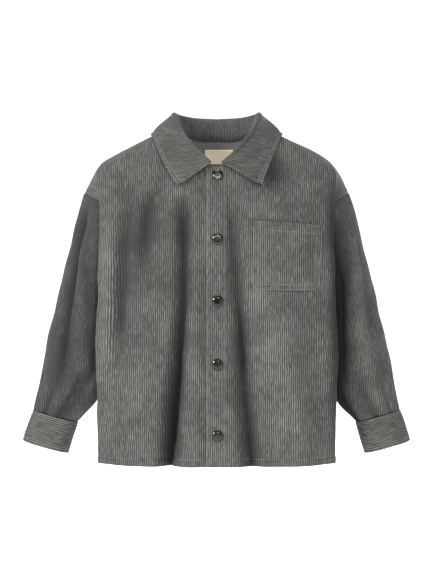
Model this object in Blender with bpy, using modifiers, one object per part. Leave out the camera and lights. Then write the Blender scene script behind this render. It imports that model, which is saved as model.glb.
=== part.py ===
"""A child's corduroy shacket, filled out as if worn: fronts, back, sleeves, cuffs, collar, pocket and snaps.

Metres, +Z up. The front faces -Y, and the wearer's left is +X. The origin is the middle of the neck, level
with the points where the shoulder seams meet the collar.
"""

import math
from collections import namedtuple

import bmesh
import bpy
import numpy as np
from mathutils import Vector
from mathutils.bvhtree import BVHTree

# Cloth and seams
WALL = 0.0019
COLLAR_WALL = 0.0024
PLACKET_WALL = 0.0022
SEAM = 0.0004
ARM_SEAM = 0.0009
NECK_SEAM = 0.0006

# Front opening: the left front laps over the right one
PLACKET_LAP = 0.0140
PLACKET_SEWN = 0.0125
PLACKET_RISE = 0.0006
UNDERLAP = 0.0110
UNDERLAP_SINK = 0.0030
SINK_FROM, SINK_TO = 0.0270, 0.0165

# Where the underarm lies, as a share of the way from shoulder seam to hem
UNDERARM = 0.49

# Steps of the mesh: half an armhole, side seam, neck to placket, neck to centre back, shoulder, arm crease
ARM_STEPS = 14
SIDE_STEPS = 9
FRONT_STEPS = 5
BACK_STEPS = 5
SHOULDER_STEPS = 9
CREASE_STEPS = 4
SLEEVE_STEPS = 15
PLACKET_STEPS = 3
COLLAR_STEPS = 16

# How far a corner's wall may be stretched, and the small steps that directions are measured over
MOST_STRETCH = 1.3
ANGLE_NUDGE = 4.0
ALONG_NUDGE = 0.01
BODY_NUDGE = 0.002
EDGE_NUDGE = 0.010
TINY = 1e-5

# How far away a ray starts
FAR = 1.0

# Snaps on the placket
SNAP_X = 0.0010
SNAP_HEIGHTS = (-0.0680, -0.1530, -0.2355, -0.3190, -0.4135)
SNAP_RADIUS = 0.0075
SNAP_STEPS = 14

# Half the outline of a snap's cap, from the middle of its face over the rolled rim to the cloth: radius, height
SNAP_PROFILE = (
    (0.0, 0.0032), (0.0030, 0.0030), (0.0054, 0.0022), (0.0064, 0.0018),
    (0.0070, 0.0021), (SNAP_RADIUS, 0.0013), (0.0071, 0.0004), (0.0, 0.0004),
)

# Chest pocket on the left front: outer sizes, with its mouth's corners
POCKET_LEFT, POCKET_RIGHT = 0.0480, 0.1415
POCKET_TOP_LEFT, POCKET_TOP_RIGHT = -0.1285, -0.1345
POCKET_BOTTOM = -0.2215
POCKET_CORNER = 0.0130
POCKET_NARROWING = 0.0025
POCKET_LIFT = 0.0008

# Stations across a half of the body, measured on the cloth from its centre line
STATIONS = (0.0, 0.024, 0.046, 0.064, 0.110, 0.158, 0.171, 0.208)
SHARES = (0.0, 0.07, 0.20, 0.33, UNDERARM, 0.73, 1.0)

# A section of a half of the body, from neck and shoulder seam to hem. The first five columns hold depth and
# height at x equal to the station, and the last three hold x, depth and height: at the fold beside the arm,
# in the crease behind it, and at the armhole or the side seam.
Section = namedtuple("Section", "centre hollow curve neck middle fold crease edge")

FRONT = (
    Section((-.0610, -.0570), (-.0590, -.0510), (-.0460, -.0320), (-.0020, -.0030), (.0030, -.0205),
            (.1530, .0050, -.0440), (.1660, .0070, -.0590), (.1810, .0100, -.0870)),
    Section((-.0670, -.0760), (-.0660, -.0710), (-.0610, -.0560), (-.0440, -.0330), (-.0300, -.0380),
            (.1580, -.0230, -.0600), (.1650, -.0130, -.0710), (.1715, -.0090, -.0945)),
    Section((-.0740, -.1050), (-.0740, -.1020), (-.0720, -.0960), (-.0680, -.0880), (-.0580, -.0850),
            (.1570, -.0410, -.0950), (.1560, -.0310, -.0990), (.1560, -.0250, -.1050)),
    Section((-.0800, -.1500), (-.0800, -.1500), (-.0790, -.1490), (-.0770, -.1480), (-.0690, -.1470),
            (.1560, -.0470, -.1470), (.1550, -.0340, -.1470), (.1490, -.0210, -.1480)),
    Section((-.0830, -.2220), (-.0830, -.2220), (-.0820, -.2220), (-.0800, -.2220), (-.0720, -.2220),
            (.1580, -.0470, -.2220), (.1570, -.0320, -.2220), (.1430, .0140, -.2260)),
    Section((-.0840, -.3350), (-.0840, -.3350), (-.0830, -.3350), (-.0810, -.3350), (-.0740, -.3350),
            (.1600, -.0460, -.3350), (.1590, -.0310, -.3350), (.1430, .0140, -.3360)),
    Section((-.0840, -.4550), (-.0840, -.4550), (-.0830, -.4550), (-.0810, -.4548), (-.0730, -.4545),
            (.1560, -.0420, -.4530), (.1600, -.0270, -.4525), (.1580, .0140, -.4520)),
)
BACK = (
    Section((.0500, -.0130), (.0470, -.0125), (.0340, -.0090), (-.0020, -.0030), (.0030, -.0205),
            (.1530, .0050, -.0440), (.1660, .0070, -.0590), (.1810, .0100, -.0870)),
    Section((.0610, -.0350), (.0590, -.0350), (.0530, -.0320), (.0400, -.0260), (.0360, -.0370),
            (.1550, .0350, -.0610), (.1650, .0330, -.0720), (.1740, .0280, -.0930)),
    Section((.0720, -.0920), (.0715, -.0920), (.0700, -.0900), (.0680, -.0880), (.0620, -.0910),
            (.1500, .0540, -.1000), (.1590, .0490, -.1030), (.1670, .0430, -.1070)),
    Section((.0780, -.1500), (.0780, -.1500), (.0770, -.1500), (.0755, -.1500), (.0700, -.1500),
            (.1400, .0590, -.1500), (.1470, .0550, -.1500), (.1520, .0490, -.1500)),
    Section((.0800, -.2220), (.0800, -.2220), (.0795, -.2220), (.0780, -.2220), (.0715, -.2220),
            (.1320, .0560, -.2220), (.1380, .0440, -.2230), (.1430, .0140, -.2260)),
    Section((.0800, -.3350), (.0800, -.3350), (.0795, -.3350), (.0780, -.3350), (.0720, -.3350),
            (.1340, .0560, -.3350), (.1400, .0440, -.3350), (.1430, .0140, -.3360)),
    Section((.0800, -.4530), (.0800, -.4530), (.0795, -.4530), (.0785, -.4530), (.0720, -.4530),
            (.1450, .0520, -.4525), (.1530, .0380, -.4520), (.1580, .0140, -.4520)),
)

# Folds of the body: the crest's or the trough's x and height at its top, middle and foot, how far it reaches
# to its left and right, and how deep it sinks in (a ridge stands out, so its depth is negative).
Fold = namedtuple("Fold", "top middle foot left right depth")

FRONT_FOLDS = (
    Fold((-.0450, -.085), (-.0460, -.230), (-.0645, -.500), .0110, .0140, .0150),
    Fold((-.0240, -.150), (-.0250, -.300), (-.0300, -.500), .0140, .0120, -.0030),
    Fold((.0170, -.085), (.0260, -.240), (.0460, -.500), .0110, .0140, .0120),
    Fold((.0450, -.190), (.0900, -.305), (.1200, -.500), .0260, .0200, -.0060),
    Fold((-.1170, -.110), (-.1300, -.200), (-.1380, -.350), .0110, .0130, .0050),
    Fold((-.0700, -.070), (-.0900, -.110), (-.0960, -.170), .0100, .0120, .0035),
    Fold((-.0760, -.270), (-.1000, -.350), (-.1200, -.440), .0150, .0170, -.0045),
    Fold((.1180, -.240), (.1300, -.340), (.1380, -.430), .0140, .0130, .0030),
)
BACK_FOLDS = (
    Fold((.0420, -.130), (.0520, -.290), (.0640, -.500), .0150, .0130, .0085),
    Fold((-.0300, -.110), (-.0420, -.260), (-.0560, -.500), .0130, .0160, .0080),
    Fold((.0050, -.180), (.0080, -.320), (.0120, -.500), .0180, .0180, -.0045),
    Fold((.0950, -.160), (.1000, -.280), (.0980, -.400), .0150, .0150, .0040),
    Fold((-.0950, -.150), (-.0920, -.260), (-.0980, -.420), .0160, .0140, .0045),
)

# A fold fades in and out over this height, has this share of its depth at its top, and dies away at the seams
FOLD_FADE = 0.045
FOLD_START = 0.45
FOLD_EDGE = 0.020

# Rings of a sleeve below the armhole: its outer and its inner edge as x and height, the depth of its middle,
# and half its size from front to back. The last ring is sewn to the cuff.
Ring = namedtuple("Ring", "outer inner depth half")

SLEEVE_RINGS = (
    Ring((.1905, -.1220), (.1580, -.2490), .0170, .0370),
    Ring((.2040, -.1760), (.1550, -.2860), .0210, .0400),
    Ring((.2180, -.2330), (.1545, -.3190), .0230, .0410),
    Ring((.2310, -.2880), (.1560, -.3480), .0230, .0400),
    Ring((.2415, -.3400), (.1670, -.3750), .0210, .0350),
    Ring((.2500, -.3835), (.1890, -.4005), .0180, .0285),
)
CUFF_RINGS = (
    Ring((.2502, -.3840), (.1892, -.4010), .0180, .0290),
    Ring((.2645, -.4255), (.2025, -.4430), .0160, .0285),
)
SLEEVE_ROUNDNESS = 0.90

# The share of the way to the underarm where the body's wall starts to turn down
UNDER_FROM = 0.85

# Where the armhole and the rings lie along a sleeve
RING_PLACES = (0.0, .16, .34, .53, .71, .87, 1.0)

# Folds of a sleeve: where they lie round it at their top and foot (degrees from its outer edge, 90 at the
# front), where they start and end along it, their reach round it and their depth. They fade in and out, and
# none reaches the armhole.
SLEEVE_FOLD_FADE = 0.16
SLEEVE_FOLD_FROM = 0.14
SleeveFold = namedtuple("SleeveFold", "top foot start end reach depth")

SLEEVE_FOLDS = {
    "right": (
        SleeveFold(34, 78, -.05, .86, 19, .0055),
        SleeveFold(62, 116, .10, .80, 20, -.0030),
        SleeveFold(128, 104, .62, 1.10, 14, .0045),
        SleeveFold(66, 60, .78, 1.15, 12, .0030),
        SleeveFold(250, 262, .10, .90, 24, .0045),
        SleeveFold(300, 288, .45, 1.05, 18, .0035),
    ),
    "left": (
        SleeveFold(70, 84, .05, .95, 24, -.0035),
        SleeveFold(112, 128, .08, .80, 20, .0040),
        SleeveFold(44, 56, .35, .95, 18, .0025),
        SleeveFold(104, 96, .70, 1.12, 13, .0035),
        SleeveFold(256, 268, .12, .90, 24, .0045),
        SleeveFold(304, 290, .40, 1.05, 18, .0035),
    ),
}

# The one-piece collar, a half of it from its front end to the centre back: the line it rolls over, and its
# outer edge, which lies on the body
ROLL_LINE = (
    (.0065, -.0660, -.0495), (.0155, -.0640, -.0415), (.0280, -.0575, -.0300), (.0370, -.0480, -.0185),
    (.0450, -.0360, -.0080), (.0505, -.0220, .0045), (.0560, -.0040, .0180), (.0580, .0110, .0220),
    (.0520, .0300, .0205), (.0320, .0450, .0175), (.0000, .0500, .0160),
)
FALL_EDGE = (
    (.0515, -.0780, -.0838), (.0550, -.0770, -.0780), (.0620, -.0730, -.0660), (.0700, -.0640, -.0520),
    (.0775, -.0500, -.0350), (.0850, -.0280, -.0190), (.0895, -.0040, -.0090), (.0885, .0180, -.0120),
    (.0800, .0450, -.0240), (.0480, .0680, -.0330), (.0000, .0740, -.0350),
)
ROLL_RADIUS = 0.0036
FALL_BULGE = 0.0030
COLLAR_LIFT = 0.0038
LAID_FROM = 2.3
COLLAR_END = 0.0065

# Where the shoulder seams meet the collar, and where its points end, as shares of the way to the centre back.
# The left point lies further out than the right one.
NECK_POINT = 0.6
LEAF_END = 0.45
LEFT_LEAF_REACH = 0.0105

# Stations on the neckline that the collar's foot passes, and the share of its way round at each
NECK_STATIONS = (
    (0.0, COLLAR_END), (0.3, .0353), (NECK_POINT, .0640), (0.7, .0575), (0.8, .0490), (0.9, .0325), (1.0, 0.0),
)

# At its front ends the collar's foot rises off the neckline, over a share of its way round
END_RISE = 0.0030
END_REACH = 0.2
ROLL_NUDGE = 0.06

# Label inside the back of the neck
LABEL_WIDTH, LABEL_HEIGHT = 0.038, 0.026
LABEL_TOP = -0.0260
LABEL_WALL = 0.0010
LABEL_GAP = 0.0012
LABEL_X = 0.0030

# A small size tab beside the label
TAB_WIDTH, TAB_HEIGHT = 0.0055, 0.0120
TAB_X = 0.0253
TAB_TOP = -0.0300

COLOURS = {
    "corduroy": (0.115, 0.120, 0.112),
    "snap_metal": (0.075, 0.076, 0.070),
    "label_cloth": (0.680, 0.520, 0.330),
}


def clear_scene():
    for obj in list(bpy.data.objects):
        bpy.data.objects.remove(obj, do_unlink=True)


def material(name, metallic=0.0, roughness=0.9):
    made = bpy.data.materials.get(name)
    if made is None:
        made = bpy.data.materials.new(name)
        made.use_nodes = True
        shader = made.node_tree.nodes["Principled BSDF"]
        shader.inputs["Base Color"].default_value = (*COLOURS[name], 1.0)
        shader.inputs["Roughness"].default_value = roughness
        shader.inputs["Metallic"].default_value = metallic
    return made


def through(knots, values, at):
    """Points at parameters `at` of a smooth curve that passes through `values` at `knots`."""
    knots = np.asarray(knots, float)
    values = np.asarray(values, float)
    at = np.clip(np.asarray(at, float), knots[0], knots[-1])
    lower = np.clip(np.searchsorted(knots, at, side="right") - 1, 0, len(knots) - 2)
    before = np.maximum(np.arange(len(knots)) - 1, 0)
    after = np.minimum(np.arange(len(knots)) + 1, len(knots) - 1)
    span = (knots[after] - knots[before]).reshape(-1, *[1] * (values.ndim - 1))
    slopes = (values[after] - values[before]) / span
    step = knots[lower + 1] - knots[lower]
    share = (at - knots[lower]) / step
    extra = [1] * (values.ndim - 1)
    share = share.reshape(-1, *extra)
    step = step.reshape(-1, *extra)
    square, cube = share**2, share**3
    return ((2 * cube - 3 * square + 1) * values[lower] + (3 * square - 2 * cube) * values[lower + 1]
            + (cube - 2 * square + share) * step * slopes[lower]
            + (cube - square) * step * slopes[lower + 1])


def weights(knots, at):
    """What each knot's value counts for, at parameters `at` of a smooth curve."""
    return through(knots, np.eye(len(knots)), at)


def smooth_step(x):
    x = np.clip(x, 0.0, 1.0)
    return x * x * (3.0 - 2.0 * x)


def control_net(sections):
    """Points of the sections at the stations, as an array of section, station and coordinate."""
    rows = []
    for section in sections:
        row = [(x, *pair) for x, pair in zip(STATIONS[:5], section[:5])]
        rows.append(row + list(section[5:]))
    return np.array(rows)


NETS = {"front": control_net(FRONT), "back": control_net(BACK)}


def net_points(face, station, share):
    return np.einsum("nr,nc,rcp->np", weights(SHARES, share), weights(STATIONS, station), NETS[face])


def plain_body(face, side, station, share):
    """Points of a face of the body, before its folds. A negative station is past the centre line."""
    station, share = np.asarray(station, float), np.asarray(share, float)
    across = np.abs(station)
    points = net_points(face, across, share)
    other = "back" if face == "front" else "front"
    top, last = np.zeros_like(share), np.full_like(share, STATIONS[7])
    to_shoulder = (net_points(other, across, top) - net_points(face, across, top)) / 2
    to_side = (net_points(other, last, share) - net_points(face, last, share)) / 2
    near_shoulder = (1 - smooth_step(share / SHARES[1])) * (across > STATIONS[3])
    near_side = smooth_step((across - STATIONS[6]) / (STATIONS[7] - STATIONS[6])) * (share > UNDERARM)
    points += to_shoulder * near_shoulder[:, None] + to_side * near_side[:, None]
    points[:, 0] *= np.where(station < 0, -side, side)
    return points


def unit(vectors):
    return vectors / np.maximum(np.linalg.norm(vectors, axis=1, keepdims=True), 1e-9)


def fold_depth(folds, x, z):
    """How far the folds sink the cloth in, at each x and height."""
    total = np.zeros_like(x)
    for fold in folds:
        heights = [fold.foot[1], fold.middle[1], fold.top[1]]
        line = through(heights, [fold.foot[0], fold.middle[0], fold.top[0]], z)
        reach = np.where(x < line, fold.left, fold.right)
        along = smooth_step((fold.top[1] - z) / FOLD_FADE) * smooth_step((z - fold.foot[1]) / FOLD_FADE)
        grown = FOLD_START + (1 - FOLD_START) * smooth_step((fold.top[1] - z) / (fold.top[1] - fold.foot[1]))
        total += fold.depth * along * grown * np.exp(-(((x - line) / reach) ** 2))
    return total


def body(face, side, station, share):
    """Points of a face of the body with its folds."""
    points = plain_body(face, side, station, share)
    station, share = np.asarray(station, float), np.asarray(share, float)
    along = (plain_body(face, side, station + BODY_NUDGE, share)
             - plain_body(face, side, station - BODY_NUDGE, share))
    down = (plain_body(face, side, station, np.minimum(share + BODY_NUDGE, 1))
            - plain_body(face, side, station, np.maximum(share - BODY_NUDGE, 0)))
    normals = unit(np.cross(along, down))
    outward = -1.0 if face == "front" else 1.0
    normals *= np.sign(normals[:, 1:2] * outward + 1e-9)
    folds = FRONT_FOLDS if face == "front" else BACK_FOLDS
    inside = smooth_step((STATIONS[6] - np.abs(station)) / FOLD_EDGE)
    depth = fold_depth(folds, points[:, 0], points[:, 2]) * inside
    return points - normals * depth[:, None]


# Each piece's outer face, as corners and faces, for other pieces to lie on
OUTER_FACES = {}


def sheet(name, columns, rows, place, wall, flip=False, tube=False, mitre=None, colour="corduroy"):
    """A wall of cloth: a grid laid out by `place`, which takes arrays of column and row values.

    The wall is a Solidify modifier. Where two pieces meet at an angle, each wall has to end in the plane
    between them, and `mitre` then gives the direction of the wall at each point of the grid.
    """
    grid = bmesh.new()
    bmesh.ops.create_grid(grid, x_segments=len(columns) - 1, y_segments=len(rows) - 1, size=1.0)
    across = np.array([round((v.co.x + 1) / 2 * (len(columns) - 1)) for v in grid.verts])
    down = np.array([round((1 - v.co.y) / 2 * (len(rows) - 1)) for v in grid.verts])
    column, row = np.asarray(columns)[across], np.asarray(rows)[down]
    place_of = grid.verts.layers.float_vector.new("place_of")
    for vert, point, c, r in zip(grid.verts, place(column, row), column, row):
        vert.co = point
        vert[place_of] = (c, r, 0.0)
    if tube:
        bmesh.ops.remove_doubles(grid, verts=grid.verts, dist=TINY)
    if flip:
        bmesh.ops.reverse_faces(grid, faces=grid.faces)
    grid.verts.index_update()
    grid.normal_update()
    OUTER_FACES[name] = [v.co.copy() for v in grid.verts], [[v.index for v in f.verts] for f in grid.faces]
    if mitre:
        thicken(grid, place_of, wall, mitre)
    mesh = bpy.data.meshes.new(name)
    grid.to_mesh(mesh)
    grid.free()
    mesh.shade_smooth()
    mesh.materials.append(material(colour))
    obj = bpy.data.objects.new(name, mesh)
    parts.objects.link(obj)
    if not mitre:
        solid = obj.modifiers.new("wall", "SOLIDIFY")
        solid.thickness = wall
        solid.offset = -1.0
        solid.use_even_offset = True
    return obj


def thicken(grid, place_of, wall, mitre):
    """Extrudes the grid inwards to a wall, along the directions that `mitre` gives."""
    inner = grid.verts.layers.float_vector.new("inner")
    spots = np.array([vert[place_of] for vert in grid.verts])
    normals = np.array([vert.normal * min(vert.calc_shell_factor(), MOST_STRETCH) for vert in grid.verts])
    outward = mitre(spots[:, 0], spots[:, 1], normals)
    for vert, direction in zip(grid.verts, outward):
        vert[inner] = vert.co - Vector(direction) * wall
    grown = bmesh.ops.extrude_face_region(grid, geom=grid.faces[:], use_keep_orig=True)
    for element in grown["geom"]:
        if isinstance(element, bmesh.types.BMVert):
            element.co = element[inner]
    bmesh.ops.recalc_face_normals(grid, faces=grid.faces)


def front_sink(station):
    """The right front's overlap sinks behind the placket."""
    return UNDERLAP_SINK * smooth_step((SINK_FROM - station) / (SINK_FROM - SINK_TO))


def sewn(face, side, station, share):
    """Points of a face of the body, half the gap of a seam away from the other face."""
    points = body(face, side, station, share)
    points[:, 1] += SEAM / 2 if face == "back" else -SEAM / 2
    return points


def arm_place(angle):
    """Where an angle round the sleeve lies on the body: whether in front, and the share of the way down."""
    angle = np.asarray(angle, float) % 360
    front = angle <= 180
    return front, np.where(front, angle, 360 - angle) / 180 * UNDERARM


def armhole(side, angle):
    """Points of the armhole at angles round the sleeve: 0 at the shoulder, 90 in front, 180 at the underarm."""
    front, share = arm_place(angle)
    station = np.full_like(share, STATIONS[7])
    ahead = plain_body("front", side, station, share)
    behind = plain_body("back", side, station, share)
    return np.where(front[:, None], ahead, behind)


def armhole_outward(side, angle):
    """The direction outwards that the walls of body and sleeve share at the armhole."""
    front, share = arm_place(angle)
    edge = np.full_like(share, STATIONS[7])
    here = armhole(side, angle)
    along_seam = armhole(side, angle + ANGLE_NUDGE) - armhole(side, angle - ANGLE_NUDGE)
    faces = [plain_body(face, side, edge - EDGE_NUDGE, share) for face in ("front", "back")]
    from_body = here - np.where(front[:, None], *faces)
    to_sleeve = ring_points(SLEEVE_RINGS[0], side, angle) - here
    down = np.array([[0.0, 0.0, -1.0]])
    nearly_under = smooth_step((share / UNDERARM - UNDER_FROM) / (1 - UNDER_FROM))[:, None]
    from_body = unit(from_body) * (1 - nearly_under) - down * nearly_under
    across = [np.cross(unit(along_seam), unit(way)) * side for way in (from_body, to_sleeve)]
    both = unit(across[0]) + unit(across[1])
    length = np.maximum(np.linalg.norm(both, axis=1, keepdims=True), 1e-9)
    return both / length * np.minimum(2.0 / length, MOST_STRETCH)


def body_mitre(face, side_of):
    """Walls of a panel end in one plane with the walls that are sewn to them."""
    def mitre(station, share, outward):
        outward = outward.copy()
        last = np.abs(station) > STATIONS[7] - TINY
        half_turn = np.minimum(share / UNDERARM, 1) * 180
        angle = half_turn if face == "front" else 360 - half_turn
        for side in (-1, 1):
            arm = last & (share < UNDERARM + TINY) & (side_of(station) == side)
            if arm.any():
                outward[arm] = armhole_outward(side, angle[arm])
        shoulder = (share < TINY) & (np.abs(station) > STATIONS[3] - TINY)
        seam = shoulder | (last & (share > UNDERARM - TINY))
        outward[seam, 1] = 0
        outward[seam] = unit(outward[seam])
        at_placket = (face == "front") & (np.abs(station - PLACKET_SEWN) < 2 * SEAM)
        outward[at_placket, 0] = 0
        return outward
    return mitre


SHOULDER_COLUMNS = [
    *np.linspace(STATIONS[3], STATIONS[5], SHOULDER_STEPS + 1),
    *np.linspace(STATIONS[5], STATIONS[7], CREASE_STEPS + 1)[1:],
]
BODY_ROWS = [*np.linspace(0, UNDERARM, ARM_STEPS + 1), *np.linspace(UNDERARM, 1, SIDE_STEPS + 1)[1:]]


def front_panel(side):
    def place(station, share):
        points = sewn("front", side, station, share)
        if side < 0:
            points[:, 1] += front_sink(station)
        return points
    if side < 0:
        columns = [-UNDERLAP, 0.0, *np.linspace(SINK_TO, STATIONS[3], FRONT_STEPS + 1)[:-1]]
    else:
        columns = list(np.linspace(PLACKET_SEWN + SEAM, STATIONS[3], FRONT_STEPS + 1)[:-1])
    name = "front_right" if side < 0 else "front_left"
    mitre = body_mitre("front", lambda station: np.full_like(station, side))
    return sheet(name, columns + SHOULDER_COLUMNS, BODY_ROWS, place, WALL, flip=side < 0, mitre=mitre)


def back_panel():
    def place(station, share):
        return sewn("back", 1, station, share)
    half = list(np.linspace(0, STATIONS[3], BACK_STEPS + 1)[1:-1]) + SHOULDER_COLUMNS
    columns = [-s for s in reversed(half)] + [0.0] + half
    return sheet("back", columns, BODY_ROWS, place, WALL, flip=True, mitre=body_mitre("back", np.sign))


def placket():
    def place(station, share):
        points = sewn("front", 1, station, share)
        points[:, 1] -= PLACKET_RISE
        return points
    columns = np.linspace(-PLACKET_LAP, PLACKET_SEWN, PLACKET_STEPS + 1)
    mitre = body_mitre("front", np.ones_like)
    return sheet("placket", columns, BODY_ROWS, place, PLACKET_WALL, mitre=mitre)


ANGLES = np.linspace(0, 360, 2 * ARM_STEPS + 1)


def ring_points(ring, side, angle):
    turn = np.radians(angle)
    across = np.sign(np.cos(turn)) * np.abs(np.cos(turn)) ** SLEEVE_ROUNDNESS
    ahead = np.sign(np.sin(turn)) * np.abs(np.sin(turn)) ** SLEEVE_ROUNDNESS
    outer, inner = np.array(ring.outer), np.array(ring.inner)
    middle, half = (outer + inner) / 2, (outer - inner) / 2
    x = side * (middle[0] + half[0] * across)
    y = ring.depth - ring.half * ahead
    z = middle[1] + half[1] * across
    return np.stack([x, y, z], axis=1)


def plain_sleeve(side, angle, along):
    """Points of a sleeve before its folds, from the armhole (0) to the cuff (1)."""
    angle = np.asarray(angle, float)
    start = armhole(side, angle)
    rings = [ring_points(ring, side, angle) for ring in SLEEVE_RINGS]
    along_seam = unit(armhole(side, angle + ANGLE_NUDGE) - armhole(side, angle - ANGLE_NUDGE))
    away = rings[0] - start
    away -= along_seam * np.sum(away * along_seam, axis=1, keepdims=True)
    start = start + unit(away) * ARM_SEAM
    return np.einsum("nr,rnp->np", weights(RING_PLACES, along), np.stack([start, *rings]))


def sleeve_surface(side, angle, along):
    points = plain_sleeve(side, angle, along)
    round_it = (plain_sleeve(side, angle + ANGLE_NUDGE / 2, along)
                - plain_sleeve(side, angle - ANGLE_NUDGE / 2, along))
    down = (plain_sleeve(side, angle, np.minimum(along + ALONG_NUDGE, 1))
            - plain_sleeve(side, angle, np.maximum(along - ALONG_NUDGE, 0)))
    normals = unit(np.cross(round_it, down)) * side
    depth = np.zeros_like(along)
    for fold in SLEEVE_FOLDS["left" if side > 0 else "right"]:
        line = fold.top + (fold.foot - fold.top) * np.clip((along - fold.start) / (fold.end - fold.start), 0, 1)
        apart = (angle - line + 180) % 360 - 180
        fade = smooth_step((along - fold.start) / SLEEVE_FOLD_FADE)
        fade *= smooth_step((fold.end - along) / SLEEVE_FOLD_FADE)
        depth += fold.depth * fade * np.exp(-((apart / fold.reach) ** 2))
    depth *= smooth_step(along / SLEEVE_FOLD_FROM)
    return points - normals * depth[:, None]


def sleeve(side):
    def place(angle, along):
        return sleeve_surface(side, angle, along)

    def mitre(angle, along, outward):
        outward = outward.copy()
        first = along < TINY
        outward[first] = armhole_outward(side, angle[first])
        return outward
    rows = np.linspace(0, 1, SLEEVE_STEPS + 1)
    name = "sleeve_left" if side > 0 else "sleeve_right"
    return sheet(name, ANGLES, rows, place, WALL, flip=side > 0, tube=True, mitre=mitre)


def cuff(side):
    def place(angle, along):
        first, last = (ring_points(ring, side, angle) for ring in CUFF_RINGS)
        return first + (last - first) * np.asarray(along)[:, None]
    name = "cuff_left" if side > 0 else "cuff_right"
    return sheet(name, ANGLES, np.linspace(0, 1, 3), place, WALL, flip=side > 0, tube=True)


def outer_tree(*names):
    """The outer faces of the named pieces, to lay another piece on."""
    corners, faces = [], []
    for name in names:
        first = len(corners)
        corners += OUTER_FACES[name][0]
        faces += [[first + i for i in face] for face in OUTER_FACES[name][1]]
    return BVHTree.FromPolygons(corners, faces)


def lay_on(tree, point, lift):
    """The point, moved out to stand at least `lift` off the cloth below it."""
    near, normal, _, _ = tree.find_nearest(Vector(point))
    height = (Vector(point) - near).dot(normal)
    return near + normal * lift if height < lift else Vector(point)


def neck_seam(around):
    """The seam where the collar meets the body, from the collar's front end (0) to the centre back (1)."""
    around = np.asarray(around, float)
    places, stations = zip(*NECK_STATIONS)
    station = np.minimum(through(places, stations, around), STATIONS[3])
    zero = np.zeros_like(station)
    in_front = (around < NECK_POINT)[:, None]
    return np.where(in_front, body("front", 1, station, zero), body("back", 1, station, zero))


def roll_line(around):
    """The line that the collar rolls over. Past the centre back it goes on as a mirror image."""
    mirrored = np.where(around > 1, -1.0, 1.0)
    line = through(np.linspace(0, 1, len(ROLL_LINE)), ROLL_LINE, 1 - np.abs(1 - around))
    line[:, 0] *= mirrored
    return line


def collar_surface(tree, around, across, leaf_reach):
    """A half of the collar. Across, 0 to 1 is the stand, 1 to 2 rolls over, and 2 to 3 is the fall."""
    roll = roll_line(around)
    edge = through(np.linspace(0, 1, len(FALL_EDGE)), FALL_EDGE, around)
    edge[:, 0] += leaf_reach * np.clip(1 - around / LEAF_END, 0, 1) ** 2
    base = neck_seam(around)
    base[:, 2] += NECK_SEAM + END_RISE * np.clip(1 - around / END_REACH, 0, 1) ** 2
    tangent = roll_line(around + ROLL_NUDGE) - roll_line(np.maximum(around - ROLL_NUDGE, 0))
    points = []
    for top, foot, low, along, t in zip(roll, base, edge, tangent, across):
        outward = Vector((along[1], -along[0], 0.0)).normalized()
        upward = outward.cross(Vector(along)).normalized()
        inner_foot = Vector(foot) - outward * COLLAR_WALL
        centre = Vector(top) - upward * ROLL_RADIUS
        if t <= 1:
            points.append(inner_foot.lerp(centre - outward * ROLL_RADIUS, t))
        elif t <= 2:
            turn = math.pi * (t - 1)
            points.append(centre + (upward * math.sin(turn) - outward * math.cos(turn)) * ROLL_RADIUS)
        else:
            start = centre + outward * ROLL_RADIUS
            bulge = outward * (FALL_BULGE * math.sin(math.pi * (t - 2)))
            point = start.lerp(Vector(low), t - 2) + bulge
            points.append(lay_on(tree, point, COLLAR_LIFT) if t > LAID_FROM else point)
    return np.array(points)


def collar(tree):
    def place(around, across):
        side = np.where(around < 1.0, -1.0, 1.0)
        reach = np.where(side > 0, LEFT_LEAF_REACH, 0.0)
        half = collar_surface(tree, 1.0 - np.abs(around - 1.0), across, reach)
        half[:, 0] *= side
        return half
    half = np.linspace(0, 1, COLLAR_STEPS + 1)
    arounds = list(half) + list(2.0 - half[::-1][1:])
    acrosses = [0, 0.5, 1, 1.25, 1.5, 1.75, 2, 2.2, 2.4, 2.6, 2.8, 3]
    return sheet("collar", arounds, acrosses, place, COLLAR_WALL, flip=True)


def on_front(tree, x, z):
    """The point of the front, and its direction outwards, at a place seen from the front."""
    point, normal, _, _ = tree.ray_cast(Vector((x, -FAR, z)), Vector((0, 1, 0)))
    return point, normal if normal.y < 0 else -normal


def pocket_outline(across, down):
    """A place on the pocket seen from the front, with its lower corners rounded off."""
    top = POCKET_TOP_LEFT + (POCKET_TOP_RIGHT - POCKET_TOP_LEFT) * across
    z = top + (POCKET_BOTTOM - top) * down
    above = min(z - POCKET_BOTTOM, POCKET_CORNER)
    inset = POCKET_CORNER - math.sqrt(POCKET_CORNER**2 - (POCKET_CORNER - above) ** 2)
    narrowed = POCKET_NARROWING * down
    left = POCKET_LEFT + inset - narrowed
    right = POCKET_RIGHT - inset - 2 * narrowed
    return left + (right - left) * across, z


def pocket(tree):
    def place(across, down):
        points = []
        for a, d in zip(across, down):
            x, z = pocket_outline(a, d)
            point, normal = on_front(tree, x, z)
            points.append(point + normal * (POCKET_LIFT + WALL))
        return np.array(points)
    rows = [0, .15, .30, .45, .60, .75, .88, .95, 1]
    return sheet("pocket", np.linspace(0, 1, 9), rows, place, WALL)


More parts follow.
